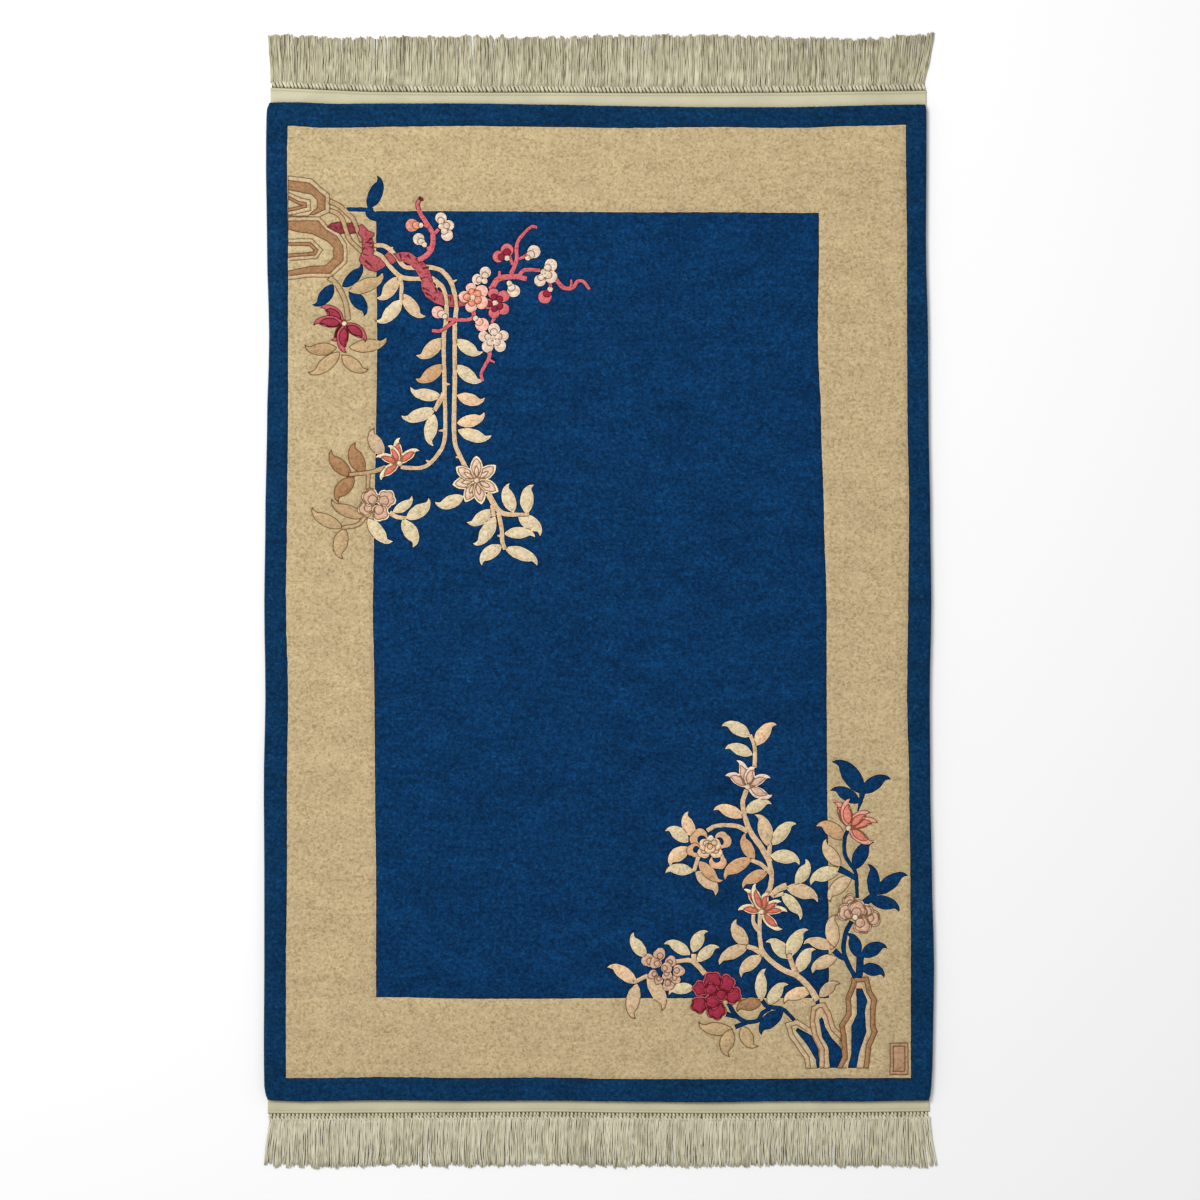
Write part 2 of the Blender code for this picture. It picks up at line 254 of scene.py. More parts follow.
cartoon = []
navy = wool("deep_blue_wool", 7, 51, 93, 0.26, BLUE_GROOVE_SHADE, BLUE_SPECK, BLUE_EDGE_SHADE)
border_blue = wool("border_blue_wool", 9, 50, 86, 0.24, BLUE_GROOVE_SHADE, BLUE_SPECK, BLUE_EDGE_SHADE)
sand = wool("sand_wool", 197, 176, 136)
BLUES = (navy, border_blue)


def hand_drawn(point):
    """A point of the cartoon as the knots give it, a little off, in millimetres."""
    off_x = noise.noise(Vector((point[0] * WOBBLES_A_MM, point[1] * WOBBLES_A_MM, 1.5)))
    off_y = noise.noise(Vector((point[0] * WOBBLES_A_MM, point[1] * WOBBLES_A_MM, 7.5)))
    return Vector((point[0] + HAND_WOBBLE * off_x, point[1] + HAND_WOBBLE * off_y))


def knot_in(yarn, outline, joined=None):
    """Adds a closed shape of one yarn to the cartoon. Shapes joined by the same word have no groove cut
    between them. The outline is in millimetres from the rug's middle."""
    points = []
    for here, there in zip(outline, outline[1:] + outline[:1]):
        here, there = Vector(here), Vector(there)
        parts = max(1, math.ceil((there - here).length / LONGEST_EDGE))
        points += [here.lerp(there, k / parts) for k in range(parts)]
    area = sum(a.x * b.y - b.x * a.y for a, b in zip(points, points[1:] + points[:1]))
    if area < 0:
        points.reverse()
    cartoon.append((yarn, [hand_drawn(p) for p in points], joined or len(cartoon)))


border_outline = divided(edge_rings[-1])
cartoon.append((border_blue, [point * MM for point in border_outline], "border"))
knot_in(sand, [point * MM for point in frame_ring])
knot_in(navy, [point * MM for point in field_ring], "blue")

# Garden rocks
# A pierced garden rock stands at each spray's foot, drawn as nested bands of brown and beige wool round
# a dark hollow. Each is knotted band within band, and the clippers part the bands with a cut line.

rock_brown = wool("rock_brown_wool", 169, 128, 92)
rock_tan = wool("rock_tan_wool", 208, 172, 133)
rock_pale = wool("rock_pale_wool", 206, 182, 146)
rock_light = wool("rock_light_wool", 205, 185, 144, mottle=0.075)
rock_beige = wool("rock_beige_wool", 207, 182, 145)
LEAST_MITRE = 0.5  # keeps a sharp corner of a rock from being moved too far


def drawn_in(line, width):
    """An open line moved to its right by the width, with its two ends kept on the rock's foot."""
    points = [Vector(p) for p in line]
    foot = (points[-1] - points[0]).normalized()
    moved = [points[0] + foot * width]
    for before, here, after in zip(points, points[1:], points[2:]):
        one = (here - before).normalized()
        two = (after - here).normalized()
        across = Vector((one.y + two.y, -one.x - two.x))
        moved.append(here + across * width / max(LEAST_MITRE, across.length_squared / 2))
    moved.append(points[-1] - foot * width)
    return moved


def rock(line, *bands):
    """A rock over an open line from one end of its foot to the other. Each band is a yarn and how far in
    from the line it starts."""
    for yarn, inset in bands:
        knot_in(yarn, drawn_in(line, inset))


# The far rocks run in under the border, and each is a broad band, a light hollow and a hook within it
FAR_ROCK = ((-571, 776), (-528, 771), (-507, 752), (-495, 743), (-495, 710), (-522, 697), (-571, 697))
FAR_HOLLOW = ((-571, 751), (-546, 746), (-528, 743), (-517, 732), (-518, 717), (-534, 703), (-571, 703))
FAR_HOOK = ((-571, 747), (-548, 736), (-531, 733), (-529, 713), (-571, 704))
FAR_LOW_ROCK = (
    (-571, 701), (-513, 701), (-498, 684), (-478, 672), (-463, 650), (-463, 618), (-492, 591), (-530, 591),
    (-571, 586),
)
FAR_LOW_HOLLOW = (
    (-571, 679), (-550, 673), (-528, 671), (-500, 657), (-487, 645), (-488, 627), (-502, 612), (-530, 611),
    (-571, 602),
)
FAR_LOW_HOOK = ((-571, 661), (-527, 661), (-507, 641), (-518, 625), (-571, 621))

rock(FAR_ROCK, (rock_pale, 0), (rock_brown, 8))
rock(FAR_HOLLOW, (rock_light, 0))
rock(FAR_HOOK, (rock_pale, 0), (rock_brown, 7), (rock_light, 12.5))
rock(FAR_LOW_ROCK, (rock_pale, 0), (rock_brown, 7))
rock(FAR_LOW_HOLLOW, (rock_light, 0))
rock(FAR_LOW_HOOK, (rock_pale, 0), (rock_brown, 6.5), (rock_light, 12.5))

# The near rocks stand on one foot, and the blue field shows through the hollow of each
SMALL_ROCK = ((377, -857), (375, -840), (347, -800), (339, -775), (361, -768), (386, -784), (412, -857))
SMALL_HOLLOW = (
    (397, -857), (395, -842), (381, -818), (358, -788), (362, -783), (388, -797), (400, -822), (403, -857),
)
LOW_ROCK = (
    (402, -857), (402, -824), (389, -797), (384, -770), (388, -745), (401, -738), (412, -738), (423, -757),
    (430, -782), (448, -800), (448, -857),
)
LOW_HOLLOW = (
    (420, -857), (418, -820), (406, -800), (401, -768), (407, -763), (413, -782), (425, -803), (445, -824),
    (445, -857),
)
TALL_ROCK = (
    (434, -857), (444, -838), (442, -800), (438, -778), (451, -757), (450, -728), (460, -703), (461, -690),
    (491, -690), (497, -715), (507, -732), (504, -745), (504, -780), (508, -790), (496, -818), (492, -857),
)
TALL_HOLLOW = (
    (453, -857), (460, -830), (460, -780), (470, -758), (469, -711), (480, -711), (490, -734), (485, -755),
    (488, -790), (475, -828), (470, -857),
)

rock(SMALL_ROCK, (rock_beige, 0), (rock_light, 8.5))
knot_in(navy, SMALL_HOLLOW)
rock(LOW_ROCK, (rock_tan, 0), (rock_beige, 8.5))
knot_in(navy, LOW_HOLLOW)
rock(TALL_ROCK, (rock_brown, 0), (rock_beige, 9))
knot_in(navy, TALL_HOLLOW)

# Stems
# The stems are long curved lines two or three knots wide in sand, beige or blue wool, with small thorns.
# They fork as they grow, and no line is cut where one stem leaves another.

stem_sand = wool("stem_sand_wool", 221, 190, 152)
stem_dull = wool("stem_dull_wool", 190, 162, 124)
CURVE_STEP = 3.0
THORN_WIDTH = 6.0
THORN_POINT = 2.0


def smooth_line(points):
    """Points a step apart along a smooth curve through the given ones."""
    given = [Vector(p) for p in points]
    ends = [2 * given[0] - given[1], *given, 2 * given[-1] - given[-2]]
    line = []
    for a, b, c, d in zip(ends, ends[1:], ends[2:], ends[3:]):
        parts = max(1, round((c - b).length / CURVE_STEP))
        for k in range(parts):
            t = k / parts
            curve = 2 * b + (c - a) * t + (2 * a - 5 * b + 4 * c - d) * t * t
            line.append(0.5 * (curve + (3 * b - a - 3 * c + d) * t**3))
    return [*line, given[-1]]


def stem(yarn, points, width, end_width, joined="stem"):
    """A stem along the points, as wide as given at its start and its end."""
    line = smooth_line(points)
    last = len(line) - 1
    right, left = [], []
    for i, here in enumerate(line):
        way = (line[min(i + 1, last)] - line[max(i - 1, 0)]).normalized()
        half = (width + (end_width - width) * i / last) / 2
        side = Vector((-way.y, way.x)) * half
        right.append(here - side)
        left.append(here + side)
    knot_in(yarn, right + left[::-1], joined)


def stems(yarn, *rows, joined="stem"):
    """Stems of one wool, with a row for each of its width at the start and the end, and its points."""
    for width, end_width, *points in rows:
        stem(yarn, points, width, end_width, joined)


def thorn(x, y, toward_x, toward_y):
    """A small thorn on a stem, from its middle to a blunt point."""
    stem(stem_sand, [(x, y), (x + toward_x, y + toward_y)], THORN_WIDTH, THORN_POINT)


# Leaves
# A leaf has a full belly on one side, a lean one on the other and a hooked tip. It is knotted in one of the
# tan, peach, cream, olive, rust or blue wools, and its outline is clipped out all round.

leaf_olive = wool("olive_leaf_wool", 224, 207, 168)
leaf_cream = wool("cream_leaf_wool", 228, 209, 173)
leaf_tan = wool("tan_leaf_wool", 221, 192, 154)
leaf_peach = wool("peach_leaf_wool", 213, 170, 128)
leaf_honey = wool("honey_leaf_wool", 240, 205, 165)
leaf_dull = wool("dull_leaf_wool", 201, 172, 130)
leaf_rosy = wool("rosy_leaf_wool", 206, 178, 145)
leaf_rust = wool("rust_leaf_wool", 172, 130, 92)
leaf_dun = wool("dun_leaf_wool", 190, 158, 118)
# A leaf's two sides, as shares of its length along it and of its width across it
BELLY = ((0.0, 0.0), (0.07, 0.28), (0.25, 0.62), (0.50, 0.76), (0.77, 0.66), (0.95, 0.34), (1.0, 0.0))
LEAN = (
    (1.0, 0.0), (0.92, 0.09), (0.82, 0.12), (0.73, -0.03), (0.60, -0.19), (0.45, -0.26), (0.28, -0.27),
    (0.12, -0.17),
)


def leaf(yarn, base_x, base_y, tip_x, tip_y, width, joined=None):
    """A leaf from its base to its tip. A width over nothing puts the belly to the left of that way."""
    base = Vector((base_x, base_y))
    along = Vector((tip_x, tip_y)) - base
    across = Vector((-along.y, along.x)).normalized() * width
    outline = []
    for side in (BELLY, (*LEAN, (0.0, 0.0))):
        outline += smooth_line([base + along * a + across * b for a, b in side])[:-1]
    knot_in(yarn, outline, joined)


def leaves(*rows, joined=None):
    """Leaves with a row for each: its yarn, the x and y of its base and of its tip, and its width."""
    for row in rows:
        leaf(*row, joined)


# The hanging spray's leaves, the blue ones first
leaves(
    (navy, -425, 716, -409, 778, -26),
    (navy, -430, 712, -408, 688, 18),
    (navy, -472, 573, -438, 618, -22),
    (navy, -488, 579, -528, 541, 24),
    (navy, -460, 566, -433, 518, 25),
    joined="blue",
)
leaves(
    (leaf_dull, -460, 566, -398, 599, -25),
    (leaf_dun, -482, 462, -540, 467, 22),
    (leaf_dull, -477, 454, -534, 417, 23),
    (leaf_dull, -473, 448, -424, 423, -23),
    (leaf_dull, -459, 463, -391, 480, -23),
    (leaf_tan, -370, 592, -410, 553, 24),
    (leaf_cream, -363, 550, -411, 511, 24),
    (leaf_tan, -361, 561, -319, 520, -23),
    (leaf_tan, -288, 480, -337, 448, 25),
    (leaf_peach, -288, 431, -338, 405, 24),
    (leaf_cream, -291, 373, -347, 390, 22),
    (leaf_cream, -302, 350, -364, 338, 24),
    (leaf_cream, -303, 340, -305, 282, -24),
    (leaf_cream, -263, 477, -214, 455, -23),
    (leaf_cream, -263, 430, -214, 403, -23),
    (leaf_honey, -262, 375, -211, 370, -22),
    (leaf_honey, -262, 324, -212, 344, -22),
    (leaf_cream, -260, 311, -199, 302, -23),
    (leaf_rosy, -397, 264, -413, 315, 25),
    (leaf_rust, -432, 232, -447, 288, 27),
    (leaf_rust, -455, 227, -491, 274, 24),
    (leaf_rust, -450, 224, -479, 178, -26),
    (leaf_dun, -430, 153, -491, 184, 22),
    (leaf_dull, -471, 133, -526, 169, 22),
    (leaf_dull, -467, 131, -470, 75, -26),
    (leaf_olive, -425, 150, -379, 107, -24),
    (leaf_olive, -379, 161, -345, 191, -18),
    (leaf_olive, -355, 149, -314, 187, -24),
    (leaf_olive, -362, 147, -343, 96, 26),
    (leaf_cream, -250, 190, -302, 180, 24),
    (leaf_cream, -198, 166, -244, 143, 22),
    (leaf_cream, -192, 153, -233, 103, 25),
    (leaf_cream, -158, 160, -165, 214, 24),
    (leaf_cream, -134, 158, -121, 211, 24),
    (leaf_cream, -150, 153, -110, 117, 25),
    (leaf_cream, -175, 121, -119, 115, 21),
    (leaf_cream, -174, 94, -115, 63, 23),
    (leaf_cream, -180, 100, -216, 63, -24),
)

# The standing spray's leaves, the blue ones last
leaves(
    (leaf_cream, 275, -250, 223, -231, -23),
    (leaf_honey, 284, -267, 324, -228, 23),
    (leaf_cream, 279, -284, 229, -273, -21),
    (leaf_olive, 266, -389, 314, -374, 22),
    (leaf_honey, 262, -398, 208, -385, -22),
    (leaf_tan, 309, -452, 283, -393, -26),
    (leaf_honey, 171, -434, 162, -387, 22),
    (leaf_cream, 162, -443, 119, -423, -24),
    (leaf_honey, 163, -453, 130, -489, -25),
    (leaf_olive, 171, -497, 120, -500, -21),
    (leaf_tan, 175, -498, 211, -541, 26),
    (leaf_peach, 181, -478, 225, -513, -20),
    (leaf_olive, 316, -449, 360, -410, 24),
    (leaf_olive, 312, -468, 365, -485, 25),
    (leaf_peach, 282, -475, 267, -427, 21),
    (leaf_peach, 277, -474, 229, -512, -24),
    (leaf_peach, 308, -497, 262, -528, -21),
    (leaf_tan, 340, -526, 398, -554, 26),
    (leaf_olive, 358, -520, 376, -474, -23),
    (leaf_olive, 332, -537, 366, -586, 21),
    (leaf_tan, 270, -634, 250, -584, 25),
    (leaf_tan, 271, -634, 219, -668, -23),
    (leaf_tan, 296, -651, 259, -691, -23),
    (leaf_olive, 345, -657, 303, -626, -25),
    (leaf_olive, 343, -655, 382, -604, 26),
    (leaf_cream, 362, -682, 395, -640, 24),
    (leaf_tan, 429, -637, 372, -630, -21),
    (leaf_tan, 434, -654, 389, -684, -23),
    (leaf_tan, 430, -636, 433, -576, 25),
    (leaf_rosy, 402, -727, 440, -703, 20),
    (leaf_peach, 448, -438, 396, -414, -26),
    (leaf_tan, 441, -488, 414, -437, 23),
    (leaf_olive, 440, -494, 386, -522, -26),
    (leaf_tan, 460, -506, 422, -553, -25),
    (leaf_cream, 296, -735, 304, -675, 21),
    (leaf_olive, 308, -742, 345, -704, 23),
    (leaf_rust, 297, -737, 251, -754, -23),
    (leaf_honey, 387, -714, 337, -739, -22),
    (leaf_cream, 85, -654, 62, -608, 22),
    (leaf_olive, 165, -650, 117, -630, -21),
    (leaf_olive, 170, -645, 198, -607, 23),
    (leaf_olive, 178, -662, 219, -637, 21),
    (leaf_honey, 66, -702, 13, -673, -23),
    (leaf_tan, 68, -703, 65, -767, -25),
    (leaf_tan, 86, -688, 113, -752, 25),
    (leaf_olive, 172, -710, 126, -723, -20),
    (leaf_dull, 243, -786, 181, -773, 23),
    (leaf_dull, 241, -786, 237, -836, -26),
    (leaf_dull, 260, -780, 289, -817, -24),
)
leaves(
    (navy, 482, -356, 424, -297, -33),
    (navy, 478, -354, 533, -329, 26),
    (navy, 476, -372, 421, -350, -24),
    (navy, 465, -494, 503, -444, 27),
    (navy, 500, -548, 489, -483, -24),
    (navy, 506, -540, 565, -505, 26),
    (navy, 492, -549, 548, -572, 25),
    (navy, 472, -655, 450, -611, -24),
    (navy, 477, -652, 527, -639, 26),
    (navy, 476, -673, 520, -692, 24),
    (navy, 336, -752, 296, -798, -27),
    joined="blue",
)

# Stems of the standing spray
# They rise from the rocks in one fan, blue where they cross the sand-coloured frame and sand-coloured on
# the field, so that they show on both.

stems(
    navy,
    (15, 3, (482, -340), (478, -366), (472, -387)),
    (8, 7, (454, -421), (448, -436), (448, -464), (457, -482), (468, -500), (471, -546)),
    (13, 9, (437, -492), (453, -500), (468, -510)),
    (12, 16, (479, -558), (503, -541)),
    (9, 9, (461, -588), (450, -610), (446, -642), (456, -670), (468, -692)),
    (15, 13, (477, -645), (474, -692)),
    (12, 8, (428, -642), (442, -654), (452, -658)),
    (9, 7, (297, -733), (307, -744), (332, -748), (346, -759), (356, -770)),
    (8, 9, (312, -748), (298, -756), (289, -770), (267, -772), (248, -760), (235, -738)),
    (7, 10, (252, -764), (231, -758)),
    (8, 9, (270, -773), (247, -782)),
    (8, 8, (398, -732), (399, -740)),
    joined="blue",
)
stems(
    stem_sand,
    (8, 6, (283, -306), (283, -270), (275, -247)),
    (8, 11, (268, -348), (261, -372), (266, -400), (276, -425), (295, -452), (311, -480)),
    (8, 9, (311, -448), (309, -475), (314, -500), (312, -524), (305, -540)),
    (8, 7, (270, -424), (250, -414), (215, -413), (196, -422)),
    (7, 8, (276, -476), (295, -484), (312, -500)),
    (7, 7, (180, -470), (172, -497)),
)
stem(leaf_tan, [(314, -543), (325, -530), (342, -523)], 10, 12, "side")
stem(leaf_olive, [(320, -543), (336, -537)], 4, 7, "side_low")
stems(
    stem_sand,
    (6.5, 8, (281, -576), (281, -591), (290, -605)),
    (7, 11, (293, -574), (292, -600), (293, -622), (300, -647), (330, -674), (362, -689), (385, -712),
     (398, -733)),
    (8, 10, (268, -634), (284, -639), (301, -650)),
    (9, 10, (346, -648), (352, -668), (361, -688)),
    (7, 10, (134, -662), (168, -661), (192, -684)),
    (9, 9, (172, -648), (172, -664)),
    (7, 7, (88, -687), (62, -700)),
)

# Plum branch and hanging stems
# An old plum branch in madder red grows out from behind the rock, and two long stems arch past it and hang
# straight down side by side. They cross over and under each other, so they come in the order they lie in.

# Painted shade deep in the grooves of the red wools
RED_GROOVE_SHADE = (0.16, 0.08, 0.08)
branch_red = wool("branch_red_wool", 184, 92, 98, shade=RED_GROOVE_SHADE, speck=(0.72, 0.45, 0.5))
branch_dark = wool("branch_dark_wool", 146, 64, 73, shade=RED_GROOVE_SHADE, speck=(0.7, 0.5, 0.5))
twig_red = wool("twig_red_wool", 210, 108, 115, shade=RED_GROOVE_SHADE, speck=(0.76, 0.5, 0.55))
bark_line = wool("bark_line_wool", 106, 38, 48, shade=RED_GROOVE_SHADE, speck=(0.7, 0.5, 0.5))

OLD_WOOD = ((-500, 683), (-492, 690), (-480, 692), (-471, 691), (-466, 671), (-475, 670), (-487, 676))
OLD_WOOD_AGAIN = ((-463, 689), (-452, 692), (-445, 672), (-458, 670))
TRUNK = (
    (-443, 685), (-436, 688), (-430, 682), (-424, 676), (-413, 672), (-414, 667), (-418, 662), (-415, 655),
    (-415, 634), (-404, 630), (-397, 622), (-392, 613), (-402, 606), (-412, 601), (-423, 604), (-434, 613),
    (-441, 622), (-439, 630), (-434, 637), (-436, 650), (-434, 660), (-443, 671), (-440, 678),
)
TRUNK_AGAIN = ((-398, 628), (-387, 638), (-370, 623), (-383, 614))
BRANCH = (
    (-378, 634), (-362, 637), (-349, 636), (-338, 629), (-332, 624), (-322, 617), (-314, 607), (-309, 593),
    (-303, 577), (-296, 566), (-285, 560), (-262, 558), (-240, 552), (-236, 545), (-244, 540), (-257, 537),
    (-273, 537), (-291, 540), (-304, 545), (-318, 555), (-326, 567), (-328, 589), (-336, 601), (-347, 614),
    (-357, 619), (-368, 621),
)
stem(navy, [(-465, 715), (-440, 715), (-415, 714)], 8, 8, "blue")
knot_in(branch_dark, OLD_WOOD, "bark")
knot_in(branch_dark, OLD_WOOD_AGAIN, "bark")
stems(
    stem_dull,
    (9, 8, (-495, 730), (-478, 722), (-465, 710), (-452, 697), (-445, 680), (-436, 656)),
    (9, 8, (-495, 713), (-482, 708), (-472, 698), (-466, 680), (-457, 658), (-435, 637)),
    joined="dull",
)
knot_in(branch_red, TRUNK, "bark")
knot_in(branch_red, TRUNK_AGAIN, "bark")
stems(
    stem_sand,
    (8, 8, (-414, 649), (-398, 649), (-385, 642), (-370, 625), (-357, 610), (-335, 608)),
    (8, 8, (-414, 636), (-400, 629), (-385, 611), (-370, 596), (-355, 589), (-322, 588)),
    (8, 8, (-322, 610), (-305, 608), (-290, 603), (-278, 590)),
    (8, 8, (-316, 592), (-303, 586), (-292, 576)),
)
knot_in(branch_red, BRANCH, "bark")
stems(
    stem_sand,
    (8, 8, (-283, 597), (-273, 582), (-266, 560), (-263, 535), (-266, 500), (-266, 400), (-267, 300),
     (-257, 265), (-243, 238)),
    (8, 7, (-296, 581), (-287, 570), (-281, 545), (-282, 510), (-286, 480), (-285, 400), (-284, 300),
     (-299, 264), (-325, 243), (-365, 243)),
    (7, 7, (-371, 597), (-364, 580), (-364, 550)),
    (9, 8, (-286, 378), (-303, 347)),
)
stems(
    stem_dull,
    (10, 9, (-495, 590), (-480, 575), (-466, 545), (-461, 512)),
    (8, 7, (-392, 243), (-420, 234), (-460, 229)),
    (8, 7, (-424, 232), (-425, 203)),
    (8, 7, (-428, 153), (-445, 137), (-473, 132)),
    joined="dull",
)
stems(
    stem_sand,
    (8, 7, (-385, 160), (-372, 152), (-355, 150)),
    (11, 6, (-205, 195), (-188, 167), (-170, 157), (-130, 157)),
    (8, 7, (-186, 160), (-180, 130), (-179, 108), (-174, 93)),
    (8, 8, (-197, 174), (-195, 153)),
)
for row in (
    (-383, 643, 4, 3), (-271, 582, 9, 4), (-257, 262, -7, -1), (-297, 578, -3, -8), (-284, 395, 9, 0),
    (-286, 310, -9, 0), (-312, 252, -7, 4), (-182, 118, -6, 0),
):
    thorn(*row)

# Knots and cracks in the bark, which run out thin: place, way and width
CRACK_END = 0.4
for x, y, toward_x, toward_y, width in (
    (-418, 662, -9, -8, 4), (-417, 653, -13, 1, 4), (-416, 645, -11, 2, 3), (-430, 646, -5, -6, 4),
    (-433, 633, 9, -3, 3), (-430, 622, 13, -12, 6), (-366, 634, 2, -11, 5), (-352, 632, 5, -8, 5),
    (-325, 607, 11, 2, 6), (-328, 588, 9, 3, 3), (-325, 572, 14, -7, 4), (-319, 562, 12, -6, 4),
    (-302, 572, 4, -10, 4), (-303, 548, 3, 8, 3), (-274, 555, 1, -10, 4),
):
    stem(bark_line, [(x, y), (x + toward_x, y + toward_y)], width, width * CRACK_END, "bark")

# The twigs, the red ones and the dark end of the first
stems(
    twig_red,
    (10, 7, (-334, 621), (-319, 630), (-308, 645), (-306, 668), (-314, 685), (-328, 706), (-334, 724),
     (-327, 737)),
    (6, 6, (-306, 668), (-296, 679)),
    (8, 6, (-313, 684), (-322, 687)),
    (6, 6, (-313, 640), (-315, 647)),
    (7, 6, (-232, 530), (-232, 518), (-245, 513), (-280, 514)),
    (6, 6, (-262, 513), (-290, 494), (-308, 493)),
    (6, 5, (-192, 520), (-198, 507)),
    (7, 5, (-203, 455), (-203, 443), (-217, 417), (-215, 401)),
    (11, 9, (-200, 568), (-185, 588), (-155, 592), (-134, 588)),
    (8, 5, (-163, 597), (-153, 622), (-151, 655), (-128, 682), (-115, 682)),
    (7, 6, (-147, 595), (-138, 604), (-110, 604)),
    (8, 5, (-82, 588), (-67, 572), (-50, 572), (-42, 583), (-31, 583), (-19, 569)),
    (6, 5, (-91, 580), (-91, 568)),
    (6, 5, (-170, 640), (-160, 614)),
    (6, 5, (-132, 633), (-148, 624)),
    (6, 4, (-184, 590), (-184, 602)),
    (5, 3, (-53, 574), (-53, 587)),
    (5, 3, (-203, 440), (-193, 435)),
    joined="twig",
)
stem(branch_dark, [(-330, 735), (-324, 732)], 4, 3, "twig end")

# Plum blossom and buds
# Each blossom is a ring of round petals with smaller, deeper-coloured rounds inside and a pale eye, and a
# bud is one round within another. Cream, pink, salmon, rose and crimson wools take turns.

blossom_cream = wool("blossom_cream_wool", 238, 214, 194)
blossom_pink = wool("blossom_pink_wool", 252, 195, 177)
blossom_rose = wool("blossom_rose_wool", 218, 114, 121)
blossom_salmon = wool("blossom_salmon_wool", 224, 150, 132)
eye_salmon = wool("eye_salmon_wool", 240, 158, 130)
eye_crimson = wool("crimson_wool", 150, 42, 66)
eye_pale = wool("blossom_eye_wool", 236, 215, 187)
ROUND_STEP = 2.2
LEAST_STEPS = 10
INNER_FROM_EYE = 10.5
INNER_SIZE = 0.6
BUD_INNER_AT = 0.65
CALYX_AT = 1.4


def disc(yarn, x, y, radius):
    """A round of one wool."""
    steps = max(LEAST_STEPS, round(2 * math.pi * radius / ROUND_STEP))
    turns = [2 * math.pi * k / steps for k in range(steps)]
    knot_in(yarn, [(x + radius * math.cos(turn), y + radius * math.sin(turn)) for turn in turns])


def blossom(x, y, outer, inner, petals, eye_radius=5.0):
    """A blossom round its eye: outer and inner yarn, and a row for each petal of its place and radius."""
    for petal_x, petal_y, radius in petals:
        disc(outer, petal_x, petal_y, radius)
    for petal_x, petal_y, radius in petals:
        way = (Vector((petal_x, petal_y)) - Vector((x, y))).normalized()
        disc(inner, x + way.x * INNER_FROM_EYE, y + way.y * INNER_FROM_EYE, radius * INNER_SIZE)
    disc(eye_pale, x, y, eye_radius)


def bud(outer, inner, x, y, radius, toward_x, toward_y, calyx_radius=5.0):
    """A bud: its round, a smaller round in it, and the dot of its calyx, which lies toward its twig."""
    way = Vector((toward_x, toward_y)).normalized()
    disc(outer, x, y, radius)
    disc(inner, x + way.x * radius * BUD_INNER_AT, y + way.y * radius * BUD_INNER_AT, radius * INNER_SIZE)
    disc(eye_pale, x + way.x * radius * CALYX_AT, y + way.y * radius * CALYX_AT, calyx_radius)


bud(blossom_salmon, eye_salmon, -344, 686, 11.5, 1, 0, 4.5)
blossom(
    -291, 684, blossom_cream, blossom_cream,
    ((-291, 699, 10.5), (-277, 686, 9.5), (-280, 668, 10.5)),
)
bud(blossom_cream, blossom_cream, -332, 661, 10.5, 1, -1, 4.5)
blossom(
    -192, 544, blossom_rose, eye_crimson,
    ((-205, 542, 9), (-195, 561, 10), (-177, 556, 10.5), (-177, 533, 10.5), (-194, 526, 10)),
)
blossom(
    -233, 554, blossom_pink, eye_salmon,
    ((-236, 571, 9.5), (-217, 565, 11.5), (-217, 545, 12), (-236, 537, 10.5), (-248, 555, 11)),
)
blossom(-211, 584, blossom_cream, blossom_cream, ((-210, 600, 10), (-225, 587, 9.5)))
blossom(
    -195, 480, blossom_cream, blossom_cream,
    ((-194, 496, 10.5), (-177, 484, 9.5), (-183, 465, 10.5), (-206, 464, 10.5), (-213, 483, 9.5)),
)
bud(blossom_pink, blossom_pink, -216, 504, 12, -1, 1)
bud(blossom_pink, blossom_cream, -297, 527, 11, 1, -0.6)
bud(blossom_cream, blossom_cream, -158, 566, 11.5, -0.6, 1)
blossom(-170, 626, blossom_rose, eye_crimson, ((-170, 641, 11.5), (-186, 629, 10.5)))
bud(blossom_cream, blossom_cream, -121, 638, 11.5, -1, -1)
blossom(
    -104, 601, blossom_cream, blossom_cream,
    ((-90, 613, 11.5), (-90, 592, 11.5), (-110, 585, 10.5)),
)
bud(blossom_rose, eye_crimson, -101, 555, 12, 0.7, 1)

# Lilies and the star flower
# A lily opens as a fan of pointed petals, each a fill of one wool inside a rim of another, round a pale eye.
# The star flower is the same flower seen from the front, with its petals all round.

# Painted shade deep in the grooves of the crimson wools
CRIMSON_GROOVE_SHADE = (0.2, 0.08, 0.1)
lily_crimson = wool("lily_crimson_wool", 164, 58, 76, shade=CRIMSON_GROOVE_SHADE)
lily_rose = wool("lily_rose_wool", 196, 96, 106, shade=RED_GROOVE_SHADE)
lily_salmon = wool("lily_salmon_wool", 224, 122, 102)
lily_cream = wool("lily_cream_wool", 246, 226, 190)
lily_blush = wool("lily_blush_wool", 232, 194, 170)
lily_pale = wool("lily_pale_wool", 244, 218, 198)
lily_coral = wool("lily_coral_wool", 226, 138, 118)
lily_pink = wool("lily_pink_wool", 232, 166, 150)
star_blush = wool("star_blush_wool", 240, 208, 182)
PETAL_SIDE = ((0.0, 0.10), (0.16, 0.32), (0.45, 0.50), (0.72, 0.42), (0.90, 0.22), (1.0, 0.0))
RIM_WIDTH = 3.0
RIM_FROM = 0.02
FILL_FROM = 0.14
FILL_TO = 0.80
EYE_RADIUS = 5.0


def pointed_petal(yarn, base, tip, width):
    """A petal with two like sides, from its base to its tip."""
    along = tip - base
    across = Vector((-along.y, along.x)).normalized() * width
    out = smooth_line([base + along * a - across * b for a, b in PETAL_SIDE])
    back = smooth_line([base + along * a + across * b for a, b in reversed(PETAL_SIDE)])
    knot_in(yarn, out[:-1] + back)


